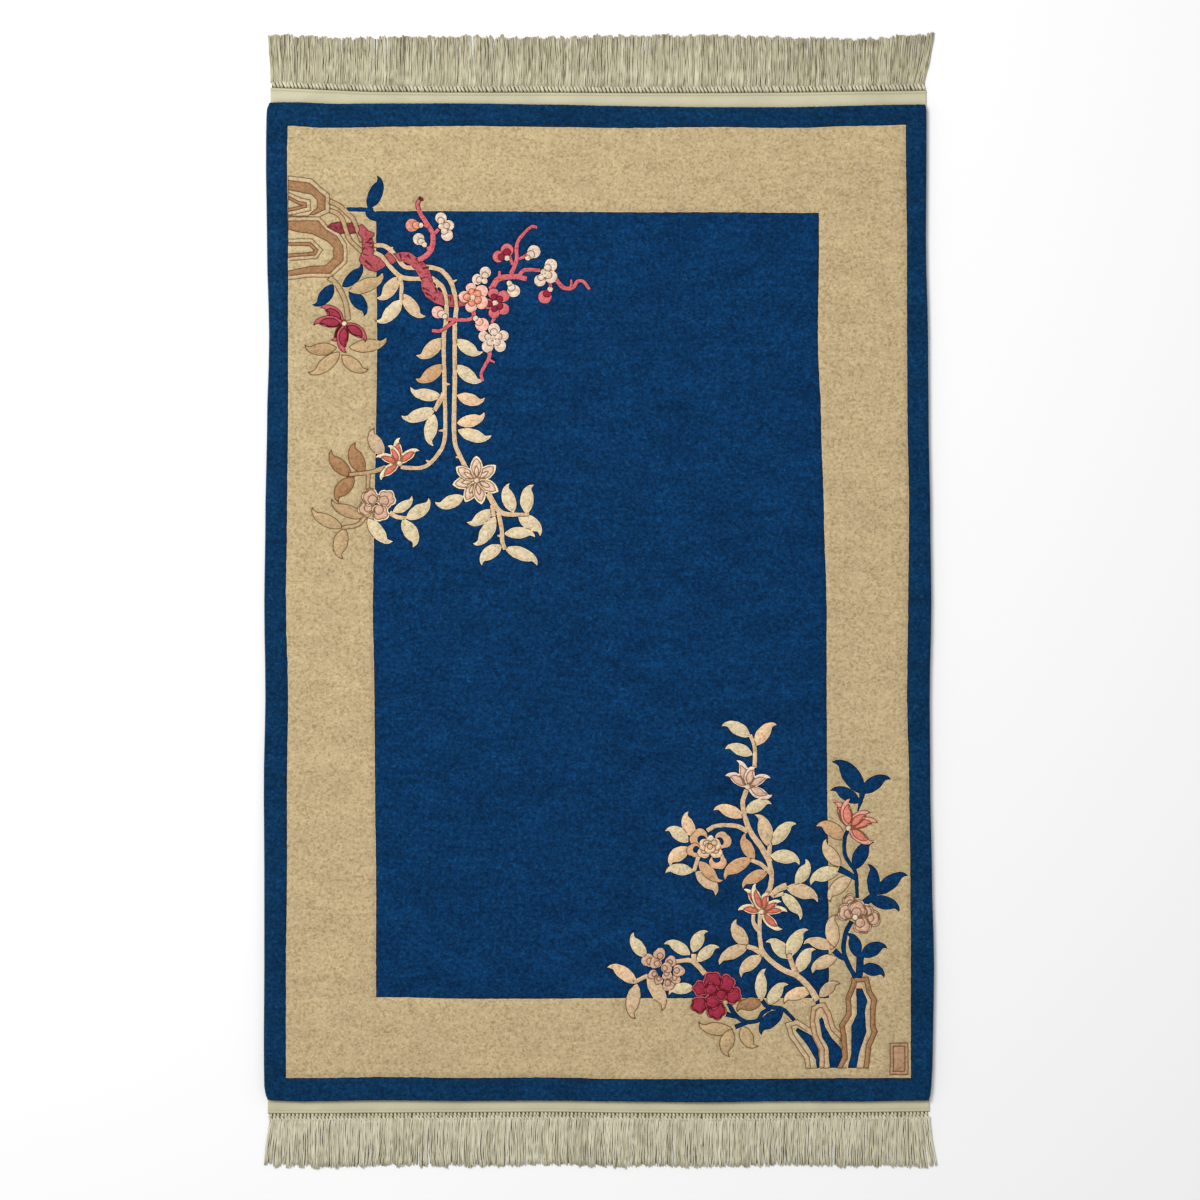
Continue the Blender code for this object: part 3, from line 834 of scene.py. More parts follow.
def lily(x, y, rim, fill, *petals):
    """A flower of hooked petals round its eye. Each has its tip and its width, which is over nothing where
    the belly lies to the left of the way out. The first petals lie under the later ones."""
    for tip_x, tip_y, width in petals:
        out_x, out_y = tip_x - x, tip_y - y
        leaf(rim, x + out_x * RIM_FROM, y + out_y * RIM_FROM, tip_x, tip_y, width)
        narrow = width - math.copysign(2 * RIM_WIDTH, width)
        fill_from = (x + out_x * FILL_FROM, y + out_y * FILL_FROM)
        leaf(fill, *fill_from, x + out_x * FILL_TO, y + out_y * FILL_TO, narrow)
    disc(eye_pale, x, y, EYE_RADIUS)


lily(
    -468, 506, lily_rose, lily_crimson,
    (-512, 535, -21), (-524, 503, -21), (-492, 476, 18), (-430, 472, 21), (-464, 453, -21),
)
lily(
    -367, 250, lily_cream, lily_salmon,
    (-401, 219, -17), (-410, 261, -16), (-331, 273, 17), (-366, 297, 17), (-389, 282, -15),
)
lily(
    270, -342, lily_pale, lily_blush,
    (229, -322, -19), (316, -356, -19), (312, -326, 18), (250, -294, -18), (286, -305, 19),
)
lily(
    296, -571, lily_cream, lily_salmon,
    (253, -568, -16), (334, -602, -17), (343, -571, 15), (332, -553, 14), (263, -530, -16),
    (312, -535, 16), (285, -519, 16),
)
lily(
    455, -417, lily_pink, lily_coral,
    (501, -441, -20), (508, -408, 19), (428, -371, -21), (495, -390, 19), (458, -364, 21),
)

STAR = (-226, 219)
STAR_REACH = 45.0
STAR_WIDTH = 23.0
STAR_TURNS = (190, 147, -118, -78, 38, -27, 90)
# Each petal is a rim, a fill and a fold: yarn, the shares of the reach from which and to which, and width
STAR_LAYERS = (
    (lily_cream, 0.04, 1.0, STAR_WIDTH), (star_blush, 0.16, 0.88, STAR_WIDTH - 2 * RIM_WIDTH),
    (star_blush, 0.16, 0.60, STAR_WIDTH / 3),
)
for degrees in STAR_TURNS:
    turn = math.radians(degrees)
    way = Vector((math.cos(turn), math.sin(turn))) * STAR_REACH
    for yarn, near_share, far_share, width in STAR_LAYERS:
        pointed_petal(yarn, Vector(STAR) + way * near_share, Vector(STAR) + way * far_share, width)
disc(eye_pale, *STAR, EYE_RADIUS)

# Peonies
# A peony is a heap of round, curling petals. The clippers cut a line round each petal and a smaller curl
# inside it, all in one wool or with a rim of a lighter one.

peony_mauve = wool("peony_mauve_wool", 217, 179, 153)
peony_pale = wool("peony_pale_wool", 231, 199, 176)
peony_tan = wool("peony_tan_wool", 226, 180, 140)
peony_honey = wool("peony_honey_wool", 238, 206, 168)
peony_cream = wool("peony_cream_wool", 242, 224, 194)
# Painted shade deep in the grooves of the crimson and rose peony wools
peony_crimson = wool("peony_crimson_wool", 166, 53, 74, shade=CRIMSON_GROOVE_SHADE)
peony_rose = wool("peony_rose_wool", 200, 90, 104, shade=(0.3, 0.12, 0.14))
SCALLOP_STEP = 1.8
SCALLOP_REACH = 1.04
SCALLOP_DEPTH = 0.20
CURL_SIZE = 0.50
CURL_TURN = 0.34


def lobed_petal(rim, fill, x, y, radius, lobes, first_turn):
    """A petal with a scalloped edge, and a rim round its fill where the two wools differ."""
    steps = round(2 * math.pi * radius / SCALLOP_STEP)
    rows = ((rim, radius), (fill, radius - RIM_WIDTH)) if rim != fill else ((fill, radius),)
    for yarn, reach in rows:
        outline = []
        for k in range(steps):
            turn = 2 * math.pi * k / steps
            scallop = abs(math.sin(lobes * (turn - first_turn) / 2))
            at = reach * (SCALLOP_REACH - SCALLOP_DEPTH * (1 - scallop))
            outline.append((x + at * math.cos(turn), y + at * math.sin(turn)))
        knot_in(yarn, outline)


def peony(x, y, rim, fill, petals, eye_radius=0.0, curl=None):
    """A peony round its eye, with a row for each petal of its place, radius, lobes and first turn, the
    hindmost first. Each petal has a curl in it, which leans toward the eye and may be of another wool."""
    for petal_x, petal_y, radius, lobes, first_turn in petals:
        lobed_petal(rim, fill, petal_x, petal_y, radius, lobes, first_turn)
        way = Vector((x - petal_x, y - petal_y)).normalized() * radius * CURL_TURN
        disc(curl or fill, petal_x + way.x, petal_y + way.y, radius * CURL_SIZE)
    if eye_radius:
        disc(peony_cream, x, y, eye_radius)


peony(
    -408, 173, peony_cream, peony_mauve,
    ((-391, 185, 17.5, 5, 0.3), (-429, 167, 14.5, 4, 1.0), (-402, 160, 16.5, 4, 0.2),
     (-420, 188, 16, 4, 0.6)),
)
peony(
    202, -450, peony_tan, peony_tan,
    ((182, -436, 17, 3, 0.3), (224, -440, 16, 3, 0.8), (172, -458, 13, 3, 0.1), (216, -478, 16, 3, 0.5)),
    curl=navy,
)
peony(
    203, -436, peony_honey, peony_honey,
    ((190, -462, 11, 3, 0.2), (213, -462, 11, 3, 0.7), (192, -448, 11, 3, 1.0), (211, -448, 11, 3, 0.4),
     (201, -455, 10, 3, 0.9)), 5.0,
)
peony(
    118, -674, peony_mauve, peony_mauve,
    ((88, -660, 12, 3, 0.3), (102, -664, 11, 3, 0.8), (109, -648, 11, 3, 0.1), (97, -686, 9, 3, 0.5),
     (107, -696, 8, 3, 1.0), (139, -694, 9, 3, 0.4), (144, -679, 11, 3, 0.9), (130, -661, 10, 3, 0.2),
     (123, -687, 9, 3, 0.6), (122, -673, 10, 3, 0.3), (125, -705, 11, 3, 0.7)),
)
peony(
    467, -581, peony_pale, peony_mauve,
    ((457, -551, 13, 3, 0.3), (450, -572, 16, 3, 0.8), (499, -583, 15, 3, 0.1), (480, -595, 16.5, 3, 0.5),
     (487, -569, 13, 3, 1.0), (471, -566, 17, 4, 0.4)), 5.5,
)
# The crimson peony shows a rim of rose round each petal and has no curls
CRIMSON_PETALS = (
    (182, -741, 16, 5, 0.4), (243, -723, 17, 5, 0.2), (184, -711, 15, 5, 1.2), (231, -702, 17, 5, 0.9),
    (213, -751, 18, 5, 0.5), (206, -697, 18, 5, 0.3), (204, -713, 13, 4, 1.0), (206, -735, 15, 5, 0.6),
    (222, -722, 12, 1, 1.5),
)
for row in CRIMSON_PETALS:
    lobed_petal(peony_rose, peony_crimson, *row)

# A plain small panel
# Near the frame's right side lies a small upright panel of plain brown wool, with one line cut inside it.
# It carries nothing.

panel_wool = wool("panel_wool", 187, 150, 117)
PANEL_LEFT, PANEL_RIGHT = 531, 564
PANEL_NEAR, PANEL_FAR = -869, -811
PANEL_LINE_IN = 6
for inset in (0, PANEL_LINE_IN):
    left, right = PANEL_LEFT + inset, PANEL_RIGHT - inset
    near, far = PANEL_NEAR + inset, PANEL_FAR - inset
    knot_in(panel_wool, [(left, near), (right, near), (right, far), (left, far)])

# Clipping and carving the pile
# The finished pile is sheared level. Then a groove is clipped along every line between two shapes, which
# makes each stand up on its own. It is one slab of wool on its cotton foundation. The grooves are measured in
# millimetres, as the cartoon is.

GROOVE_HALF = 1.5
SHOULDER = 3.0
GROOVE_DEPTH = 2.5
SHOULDER_ROWS = ((GROOVE_HALF, 1.15), (SHOULDER, 2.1))  # from the groove's middle, and how far apart
ROUND_A_CORNER = 8
LEAST_EDGE = 0.8
GROUND_STEP = 11.0
GROUND_SHAKE = 2.0
SHAKE_SEED = 5
CLEAR_OF_GROOVE = 4.8
CLEAR_SHARE = 0.93
STRAIGHT_ON = -0.6  # a groove goes straight on at a corner where the product of its two ways is below this
SHEAR_UNEVEN = 0.22
SLOW_WAVE = 0.012
QUICK_WAVE = 0.09
WELD = 0.15
TOP_WELD = 0.01
ABOVE_PILE = 5.0
EDGE_TUFTS = 330
EDGE_TUFTS_UP = 400
EDGE_TUFT_OUT = 0.0006
SHADED_BELOW = 0.008
UNDER_EDGE_SHADE = 0.5


def painted_regions():
    """The cartoon cut into triangles, the shape that shows in each, the lines where two wools or two shapes
    meet, the cuts, which are the lines between two groups, and which cuts part blue from another colour."""
    points, shapes = [], []
    for _, outline, _ in cartoon:
        shapes.append(list(range(len(points), len(points) + len(outline))))
        points += outline
    flat, _, triangles, _, _, origins = delaunay_2d_cdt(points, [], shapes, 1, WELD)
    seen = [max(origin) if origin else 0 for origin in origins]
    looks = [(cartoon[shape][0], cartoon[shape][2]) for shape in seen]
    beside = {}
    for number, corners in enumerate(triangles):
        for a, b in zip(corners, corners[1:] + corners[:1]):
            beside.setdefault((min(a, b), max(a, b)), []).append(number)
    lines, cuts, against_blue = [], [], []
    for edge, two in beside.items():
        if len(two) == 2 and looks[two[0]] != looks[two[1]]:
            lines.append(edge)
            (one_yarn, one_group), (other_yarn, other_group) = looks[two[0]], looks[two[1]]
            if one_group != other_group:
                cuts.append(edge)
                against_blue.append((one_yarn in BLUES) != (other_yarn in BLUES))
    return flat, triangles, seen, lines, cuts, against_blue


def groove_tree(flat, cuts, against_blue):
    """A search tree of points less than a millimetre apart along every groove, and which of them part blue
    wool from another colour."""
    along, parts_blue = [], []
    for (a, b), beside_blue in zip(cuts, against_blue):
        parts = max(1, math.ceil((flat[b] - flat[a]).length / LEAST_EDGE))
        along += [flat[a].lerp(flat[b], k / parts) for k in range(parts + 1)]
        parts_blue += [beside_blue] * (parts + 1)
    tree = kdtree.KDTree(len(along))
    for number, point in enumerate(along):
        tree.insert((point.x, point.y, 0.0), number)
    tree.balance()
    return tree, parts_blue


def shoulder_points(flat, cuts, grooves):
    """Points on both sides of every groove: where its painted shade ends, and where the pile is level again.
    """
    ends_at = {}
    for a, b in cuts:
        ends_at.setdefault(a, []).append(b)
        ends_at.setdefault(b, []).append(a)
    cell_size = max(apart for _, apart in SHOULDER_ROWS)
    taken = {}
    points = []

    def add(point, reach, apart):
        if grooves.find((point.x, point.y, 0.0))[2] < reach * CLEAR_SHARE:
            return
        column, row = int(point.x // cell_size), int(point.y // cell_size)
        for across in (-1, 0, 1):
            for along in (-1, 0, 1):
                for other in taken.get((column + across, row + along), ()):
                    if (point - other).length < apart:
                        return
        taken.setdefault((column, row), []).append(point)
        points.append(point)

    for reach, apart in SHOULDER_ROWS:
        for corner, others in ends_at.items():
            here = flat[corner]
            ways = [(flat[other] - here).normalized() for other in others]
            if len(ways) == 2 and ways[0].dot(ways[1]) < STRAIGHT_ON:
                along = (ways[0] - ways[1]).normalized()
                turns = [math.atan2(along.x, -along.y), math.atan2(-along.x, along.y)]
            else:
                turns = [2 * math.pi * k / ROUND_A_CORNER for k in range(ROUND_A_CORNER)]
            for turn in turns:
                add(here + Vector((math.cos(turn), math.sin(turn))) * reach, reach, apart)
    return points


def ground_points(grooves):
    """An even, slightly shaken grid over the whole pile, clear of the grooves."""
    shaken = random.Random(SHAKE_SEED)
    low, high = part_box("pile_body")
    points = []
    rows = int((high.y - low.y) * MM / GROUND_STEP)
    columns = int((high.x - low.x) * MM / GROUND_STEP)
    edge = kdtree.KDTree(len(border_outline))
    for number, point in enumerate(border_outline):
        edge.insert((point.x * MM, point.y * MM, 0.0), number)
    edge.balance()
    for row in range(rows):
        for column in range(columns):
            x = low.x * MM + (column + 0.5 + 0.5 * (row % 2)) * GROUND_STEP
            y = low.y * MM + (row + 0.5) * GROUND_STEP
            x += shaken.uniform(-GROUND_SHAKE, GROUND_SHAKE)
            y += shaken.uniform(-GROUND_SHAKE, GROUND_SHAKE)
            _, nearest, to_edge = edge.find((x, y, 0.0))
            rim = border_outline[nearest] * MM
            within = x * x + y * y < rim.length_squared and to_edge > CLEAR_OF_GROOVE
            if within and grooves.find((x, y, 0.0))[2] > CLEAR_OF_GROOVE:
                points.append(Vector((x, y)))
    return points


def sheared(x, y):
    """How far the shears leave the pile from level at a place, in millimetres."""
    slow = noise.noise(Vector((x * SLOW_WAVE, y * SLOW_WAVE, 3.0)))
    quick = noise.noise(Vector((x * QUICK_WAVE, y * QUICK_WAVE, 9.0)))
    return SHEAR_UNEVEN * (slow + quick) - SHEAR_UNEVEN


def add_edges(vertices, painted_light_and_shade, faces, face_wools, below):
    """Adds the tufted edges from the top's rim down to the floor, and the level underside."""
    side_wool = wools[border_blue][0]
    rim_count = len(below)
    for level, ring in reversed(list(zip(EDGE_LEVELS, edge_rings))):
        around = []
        for k, point in enumerate(divided(ring)):
            place = Vector((point.x * EDGE_TUFTS, point.y * EDGE_TUFTS, level * EDGE_TUFTS_UP))
            tuft = noise.noise(place) if level > 0 else 0.0
            away = point.normalized() * EDGE_TUFT_OUT * tuft
            around.append(len(vertices))
            vertices.append((point.x + away.x, point.y + away.y, level))
            # The lowest rings of the edge get painted shade at its foot
            painted_light_and_shade.append(0.0 if level > SHADED_BELOW else UNDER_EDGE_SHADE)
        for k in range(rim_count):
            after = (k + 1) % rim_count
            faces.append((below[k], around[k], around[after], below[after]))
            face_wools.append(side_wool)
        below = around
    faces.append(tuple(reversed(below)))
    face_wools.append(side_wool)


def carved_pile():
    """One closed body: the carved top, the tufted edges down to the floor and a level underside."""
    flat, painted, seen, lines, cuts, against_blue = painted_regions()
    grooves, parts_blue = groove_tree(flat, cuts, against_blue)
    rim = [point * MM for point in border_outline]
    rim_count = len(rim)
    points = list(rim)
    constraints = []
    number_of = {}
    for edge in lines:
        for end in edge:
            if end not in number_of:
                number_of[end] = len(points)
                points.append(flat[end])
        constraints.append((number_of[edge[0]], number_of[edge[1]]))
    points += shoulder_points(flat, cuts, grooves)
    points += ground_points(grooves)
    outer = [list(range(rim_count))]
    top, _, triangles, origin_points, _, _ = delaunay_2d_cdt(points, constraints, outer, 1, TOP_WELD)

    vertices, painted_light_and_shade = [], []
    for x, y in top:
        _, nearest, distance = grooves.find((x, y, 0.0))
        cut_away = max(0.0, 1.0 - distance / SHOULDER) ** 2
        height = EDGE_TOP * MM + sheared(x, y) - GROOVE_DEPTH * cut_away
        vertices.append((x / MM, y / MM, height / MM))
        # Painted shade deep in the groove; beside a groove that parts blue from another colour the value is
        # below zero, for painted shade on the blue and a painted highlight on the other
        in_groove = max(0.0, 1.0 - distance / GROOVE_HALF)
        painted_light_and_shade.append(-in_groove if parts_blue[nearest] else in_groove)

    regions = bvhtree.BVHTree.FromPolygons([(x, y, 0.0) for x, y in flat], painted)
    faces, face_wools = [], []
    for corners in triangles:
        middle = sum((top[corner] for corner in corners), Vector((0.0, 0.0))) / 3
        _, _, number, _ = regions.ray_cast((middle.x, middle.y, ABOVE_PILE), (0.0, 0.0, -1.0))
        faces.append(tuple(corners))
        face_wools.append(wools[cartoon[seen[number] if number is not None else 0][0]][0])

    rim_vertex = {}
    for number, origins in enumerate(origin_points):
        for origin in origins:
            if origin < rim_count:
                rim_vertex[origin] = number
    add_edges(vertices, painted_light_and_shade, faces, face_wools, [rim_vertex[k] for k in range(rim_count)])

    mesh = bpy.data.meshes.new("knotted_pile")
    mesh.from_pydata(vertices, [], faces)
    for _, made in sorted(wools.values(), key=lambda entry: entry[0]):
        mesh.materials.append(made)
    mesh.polygons.foreach_set("material_index", face_wools)
    mesh.attributes.new("painted_light_and_shade", "FLOAT", "POINT").data.foreach_set("value", painted_light_and_shade)
    mesh.shade_smooth()
    mesh.update()
    made = bpy.data.objects.new("knotted_pile", mesh)
    bpy.context.scene.collection.objects.link(made)
    return made


pile = carved_pile()
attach(pile, "root")
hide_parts("pile_body")

# Side cords
# Each long side is overcast with the border's blue wool over a cord of spare warps, turn beside turn, which
# keeps the outer knots from slipping off. The cord lies low beside the foundation, under the outer tufts.

TURN_PITCH = 0.0042
STATIONS_A_TURN = 3
CORD_ROUND = 10
CORD_HEIGHT = 0.0064
TURN_DIP = 0.18
DIP_SHADE = 0.5
WHOLE_SHARE = 0.6  # a packed row narrower than this share of the widest isn't a whole cross section
cord_wool = wools[wool("side_cord_wool", 16, 52, 87, mottle=0.2, shade=BLUE_GROOVE_SHADE, speck=BLUE_SPECK)][1]


def edges_of(node, along, across):
    """Rows of a packed strip: a place along it, and its two edges there."""
    found = {}
    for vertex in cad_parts[node].data.vertices:
        found.setdefault(round(vertex.co[along], 3), []).append(vertex.co[across])
    rows = [(place, min(reach), max(reach)) for place, reach in found.items()]
    whole = max(high - low for _, low, high in rows) * WHOLE_SHARE
    return sorted(row for row in rows if row[2] - row[1] > whole)


def row_at(rows, place):
    """What the rows give at any place in their first column, without that column."""
    after = min(max(1, bisect.bisect(rows, (place,))), len(rows) - 1)
    before, beyond = rows[after - 1], rows[after]
    share = (place - before[0]) / max(1e-9, beyond[0] - before[0])
    share = min(1.0, max(0.0, share))
    return [a + (b - a) * share for a, b in zip(before, beyond)][1:]


def tube_faces(first, rings, sides):
    """The faces of a tube with closed ends, whose rings of points follow each other from the first point."""
    faces = []
    for ring in range(rings - 1):
        for k in range(sides):
            here = first + ring * sides + k
            after = first + ring * sides + (k + 1) % sides
            faces.append((here, after, after + sides, here + sides))
    last = first + (rings - 1) * sides
    return [*faces, tuple(range(first, first + sides)), tuple(range(last, last + sides))]


def cloth_piece(name, node, material, vertices, faces, attribute, values):
    """A piece of one mesh with its faces turned outward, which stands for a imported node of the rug."""
    mesh = bpy.data.meshes.new(name)
    mesh.from_pydata(vertices, [], faces)
    shape = bmesh.new()
    shape.from_mesh(mesh)
    bmesh.ops.recalc_face_normals(shape, faces=shape.faces)
    shape.to_mesh(mesh)
    shape.free()
    mesh.attributes.new(attribute, "FLOAT", "POINT").data.foreach_set("value", values)
    mesh.materials.append(material)
    mesh.shade_smooth()
    made = bpy.data.objects.new(name, mesh)
    bpy.context.scene.collection.objects.link(made)
    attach(made, "root")
    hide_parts(node)
    return made


def overcast_cord(side):
    node = "side_cord_" + side
    rows = edges_of(node, 1, 0)
    first, last = rows[0][0], rows[-1][0]
    stations = round((last - first) / TURN_PITCH * STATIONS_A_TURN)
    vertices, dips = [], []
    for i in range(stations + 1):
        y = first + (last - first) * i / stations
        low, high = row_at(rows, y)
        for k in range(CORD_ROUND):
            turn = 2 * math.pi * k / CORD_ROUND
            dip = 0.5 + 0.5 * math.cos(2 * math.pi * i / STATIONS_A_TURN + turn)
            full = 1 - TURN_DIP * dip
            x = (low + high) / 2 + (high - low) / 2 * full * math.cos(turn)
            vertices.append((x, y, CORD_HEIGHT / 2 * (1 + full * math.sin(turn))))
            # Painted shade in the dips between the turns
            dips.append(DIP_SHADE * dip)
    faces = tube_faces(0, stations + 1, CORD_ROUND)
    name = "overcast_cord_" + side
    return cloth_piece(name, node, cord_wool, vertices, faces, "painted_light_and_shade", dips)


cords = [overcast_cord("left"), overcast_cord("right")]

# End bands
# Past the pile the weaver goes on with the plain cotton foundation for two or three centimetres, ivory warp
# and ivory weft. A twined line locks the last row of knots, and another the outer edge of the band.

BAND_COLUMN = 0.0017
WARP_RIB = 0.12
RIBBED_ABOVE = 2.0
TWINE_PITCH = 5.1
TWINE_SWING = 0.35
# Painted highlight where the twine's turns rise
TWINE_HIGHLIGHT = 0.3
STAINS_A_METRE = (14.0, 20.0, 14.0)
STAIN = 0.07
# Rows of the section from the pile to the fringe: the share of the width, how much further out and how high
# in millimetres, the share of the twine's swing, and lightness, which is painted shade low down and in the
# dips and a painted highlight on the ridges
BAND_SECTION = (
    (0, 0, 0, 0, 0.35), (0, 0, 2.6, 0, 0.35), (0, 1.2, 3.3, 0.3, 0.7), (0, 2.4, 3.5, 0.3, 0.85),
    (0, 3.6, 3.0, 0.1, 0.7), (0, 4.4, 2.7, 0, 0.5), (0, 5.6, 2.9, 0, 0.85), (0.40, 0, 3.0, 0, 0.95),
    (0.55, 0, 3.0, 0, 0.95), (1, -7, 2.9, 0, 0.85), (1, -5.8, 2.6, 0, 0.55),
    (1, -4.4, 3.6, 0.4, 0.8), (1, -3.1, 4.1, 0.4, 0.95), (1, -1.6, 3.5, 0.4, 0.7), (1, 0, 2.2, 0, 0.3),
    (1, 0, 0, 0, 0.3),
)


def cotton(name, dark, middle, light, grain, unevenness):
    """A cotton yarn, from the painted shade of its hollows to the painted highlight of its raised places.
    Grain is how many fibres or threads lie along a metre of x, y and z."""
    made, shader, tree = new_material(name)
    where = add_node(tree, "ShaderNodeTexCoord", (-1500, 0)).outputs["Object"]
    threads = stretched_noise(tree, where, grain, 3.0, (-1050, 250))
    stains = stretched_noise(tree, where, STAINS_A_METRE, 3.0, (-1050, 0))
    uneven_threads = spread(tree, threads, NOISE_MIDDLE, 1 - unevenness, 1 + unevenness, (-800, 250))
    stained = spread(tree, stains, NOISE_MIDDLE, 1 - STAIN, 1 + STAIN, (-800, 0))
    level = times(tree, uneven_threads, stained, (-550, 150))
    shade = add_node(tree, "ShaderNodeAttribute", (-1050, -300), attribute_name="shade")
    ramp = add_node(tree, "ShaderNodeValToRGB", (-800, -300))
    ramp.color_ramp.elements.new(0.5)
    for stop, colour in zip(ramp.color_ramp.elements, (dark, middle, light)):
        stop.color = (*(to_linear(value) / STUDIO_BRIGHTER for value in colour), 1.0)
    tree.links.new(shade.outputs["Fac"], ramp.inputs["Fac"])
    uneven = add_node(tree, "ShaderNodeVectorMath", (-300, 0), operation="SCALE")
    tree.links.new(ramp.outputs["Color"], uneven.inputs["Vector"])
    tree.links.new(level, uneven.inputs["Scale"])
    tree.links.new(uneven.outputs["Vector"], shader.inputs["Base Color"])
    raised = add_node(tree, "ShaderNodeBump", (-300, -300))
    raised.inputs["Strength"].default_value = 0.5
    raised.inputs["Distance"].default_value = 0.0006
    tree.links.new(threads, raised.inputs["Height"])
    tree.links.new(raised.outputs["Normal"], shader.inputs["Normal"])
    shader.inputs["Roughness"].default_value = 0.9
    shader.inputs["Specular IOR Level"].default_value = 0.1
    return made


woven_cotton = cotton(
    "woven_cotton", (150, 140, 104), (184, 176, 144), (208, 202, 173), (650.0, 480.0, 300.0), 0.11,
)


def woven_band(end, out):
    node = "end_band_" + end
    rows = edges_of(node, 0, 1)
    first, last = rows[0][0], rows[-1][0]
    columns = round((last - first) / BAND_COLUMN)
    vertices, shades = [], []
    for i in range(columns + 1):
        x = first + (last - first) * i / columns
        low, high = row_at(rows, x)
        inner, outer = (low, high) if out > 0 else (high, low)
        swing = TWINE_SWING * math.sin(2 * math.pi * x * MM / TWINE_PITCH)
        for share, further, height, twine, lightness in BAND_SECTION:
            rib = WARP_RIB * (i % 2) if height > RIBBED_ABOVE and not twine else 0.0
            y = inner + (outer - inner) * share + out * further / MM
            vertices.append((x, y, (height + rib + twine * swing) / MM))
            shades.append(lightness + TWINE_HIGHLIGHT * twine * swing)
    faces = tube_faces(0, columns + 1, len(BAND_SECTION))
    return cloth_piece("woven_band_" + end, node, woven_cotton, vertices, faces, "shade", shades)


bands = [woven_band("far", 1), woven_band("near", -1)]

# Fringes
# The fringe is the rug's own cotton warps. Past the band they are knotted in bunches, each knot pulled to a
# slant, and below the knots the loose yarns lie on the floor in uneven clumps and are cut by eye.

# A knot's rings: the share of the way through it, height and radius
KNOT_RISE = ((0.0, 2.3, 2.1), (0.3, 3.2, 2.7), (0.65, 3.4, 2.6), (1.0, 2.2, 1.7))
KNOT_SIDES = 7
KNOT_ASIDE = (-0.7, 0.7)
KNOT_PULL = (0.7, 1.25)
KNOT_THICK = (0.85, 1.12)
KNOT_LIGHT = (0.62, 0.92)
# Painted shade at the two ends of a knot
KNOT_END_SHADE = 0.7
BED_START = 0.3
BED_REACH = 13.0
BED_HEIGHT = 1.0
CLUMP_WIDTH = (5.0, 13.0)
CLUMP_UNEVEN = ((-1.2, 3.6), (-1.2, 1.2), (-0.13, 0.13))  # how much longer, leaning and lighter
CLUMP_MIDDLE = 4.5
DRAWN_TO_MIDDLE = 0.1
YARN_LAYERS = ((0.0, 3), (1.0, 5))  # how far up the layer's yarns lie, and how many there are to a knot
YARN_RADIUS = 1.15
YARN_SIDES = 5
YARN_RINGS = 9
YARN_ROOT = 9.0
YARN_ASIDE = (-0.5, 0.5)
YARN_THICK = (0.8, 1.25)
YARN_HEAP = (1.0, 3.2)
YARN_LEAN = (-2.4, 2.4)
YARN_LIGHTER = (-0.16, 0.16)
YARN_LIGHT = 0.64
YARN_THINNER = 0.22
UNEVEN_CUT = (-2.2, 1.4)
LOW_LAYER_SHORTER = 2.0
# Painted shade on the low layer of yarns, which lies under the others
LOW_LAYER_SHADE = 0.12
SWAY = 2.6
OWN_SWAY = 2.2
LEAVES_KNOT_ASIDE = 2.5
SINKS_TO_TIP = 0.62
SPOTS = 0.4
TIP_DARKER = 0.08
CORNER_REACH = 75.0
TIPS_PAST = 1.02
CHANCE_SEED = 17
UP = Vector((0.0, 0.0, 1.0))
fringe_cotton = cotton(
    "fringe_cotton", (104, 92, 62), (188, 181, 151), (224, 219, 194), (500.0, 60.0, 500.0), 0.10,
)


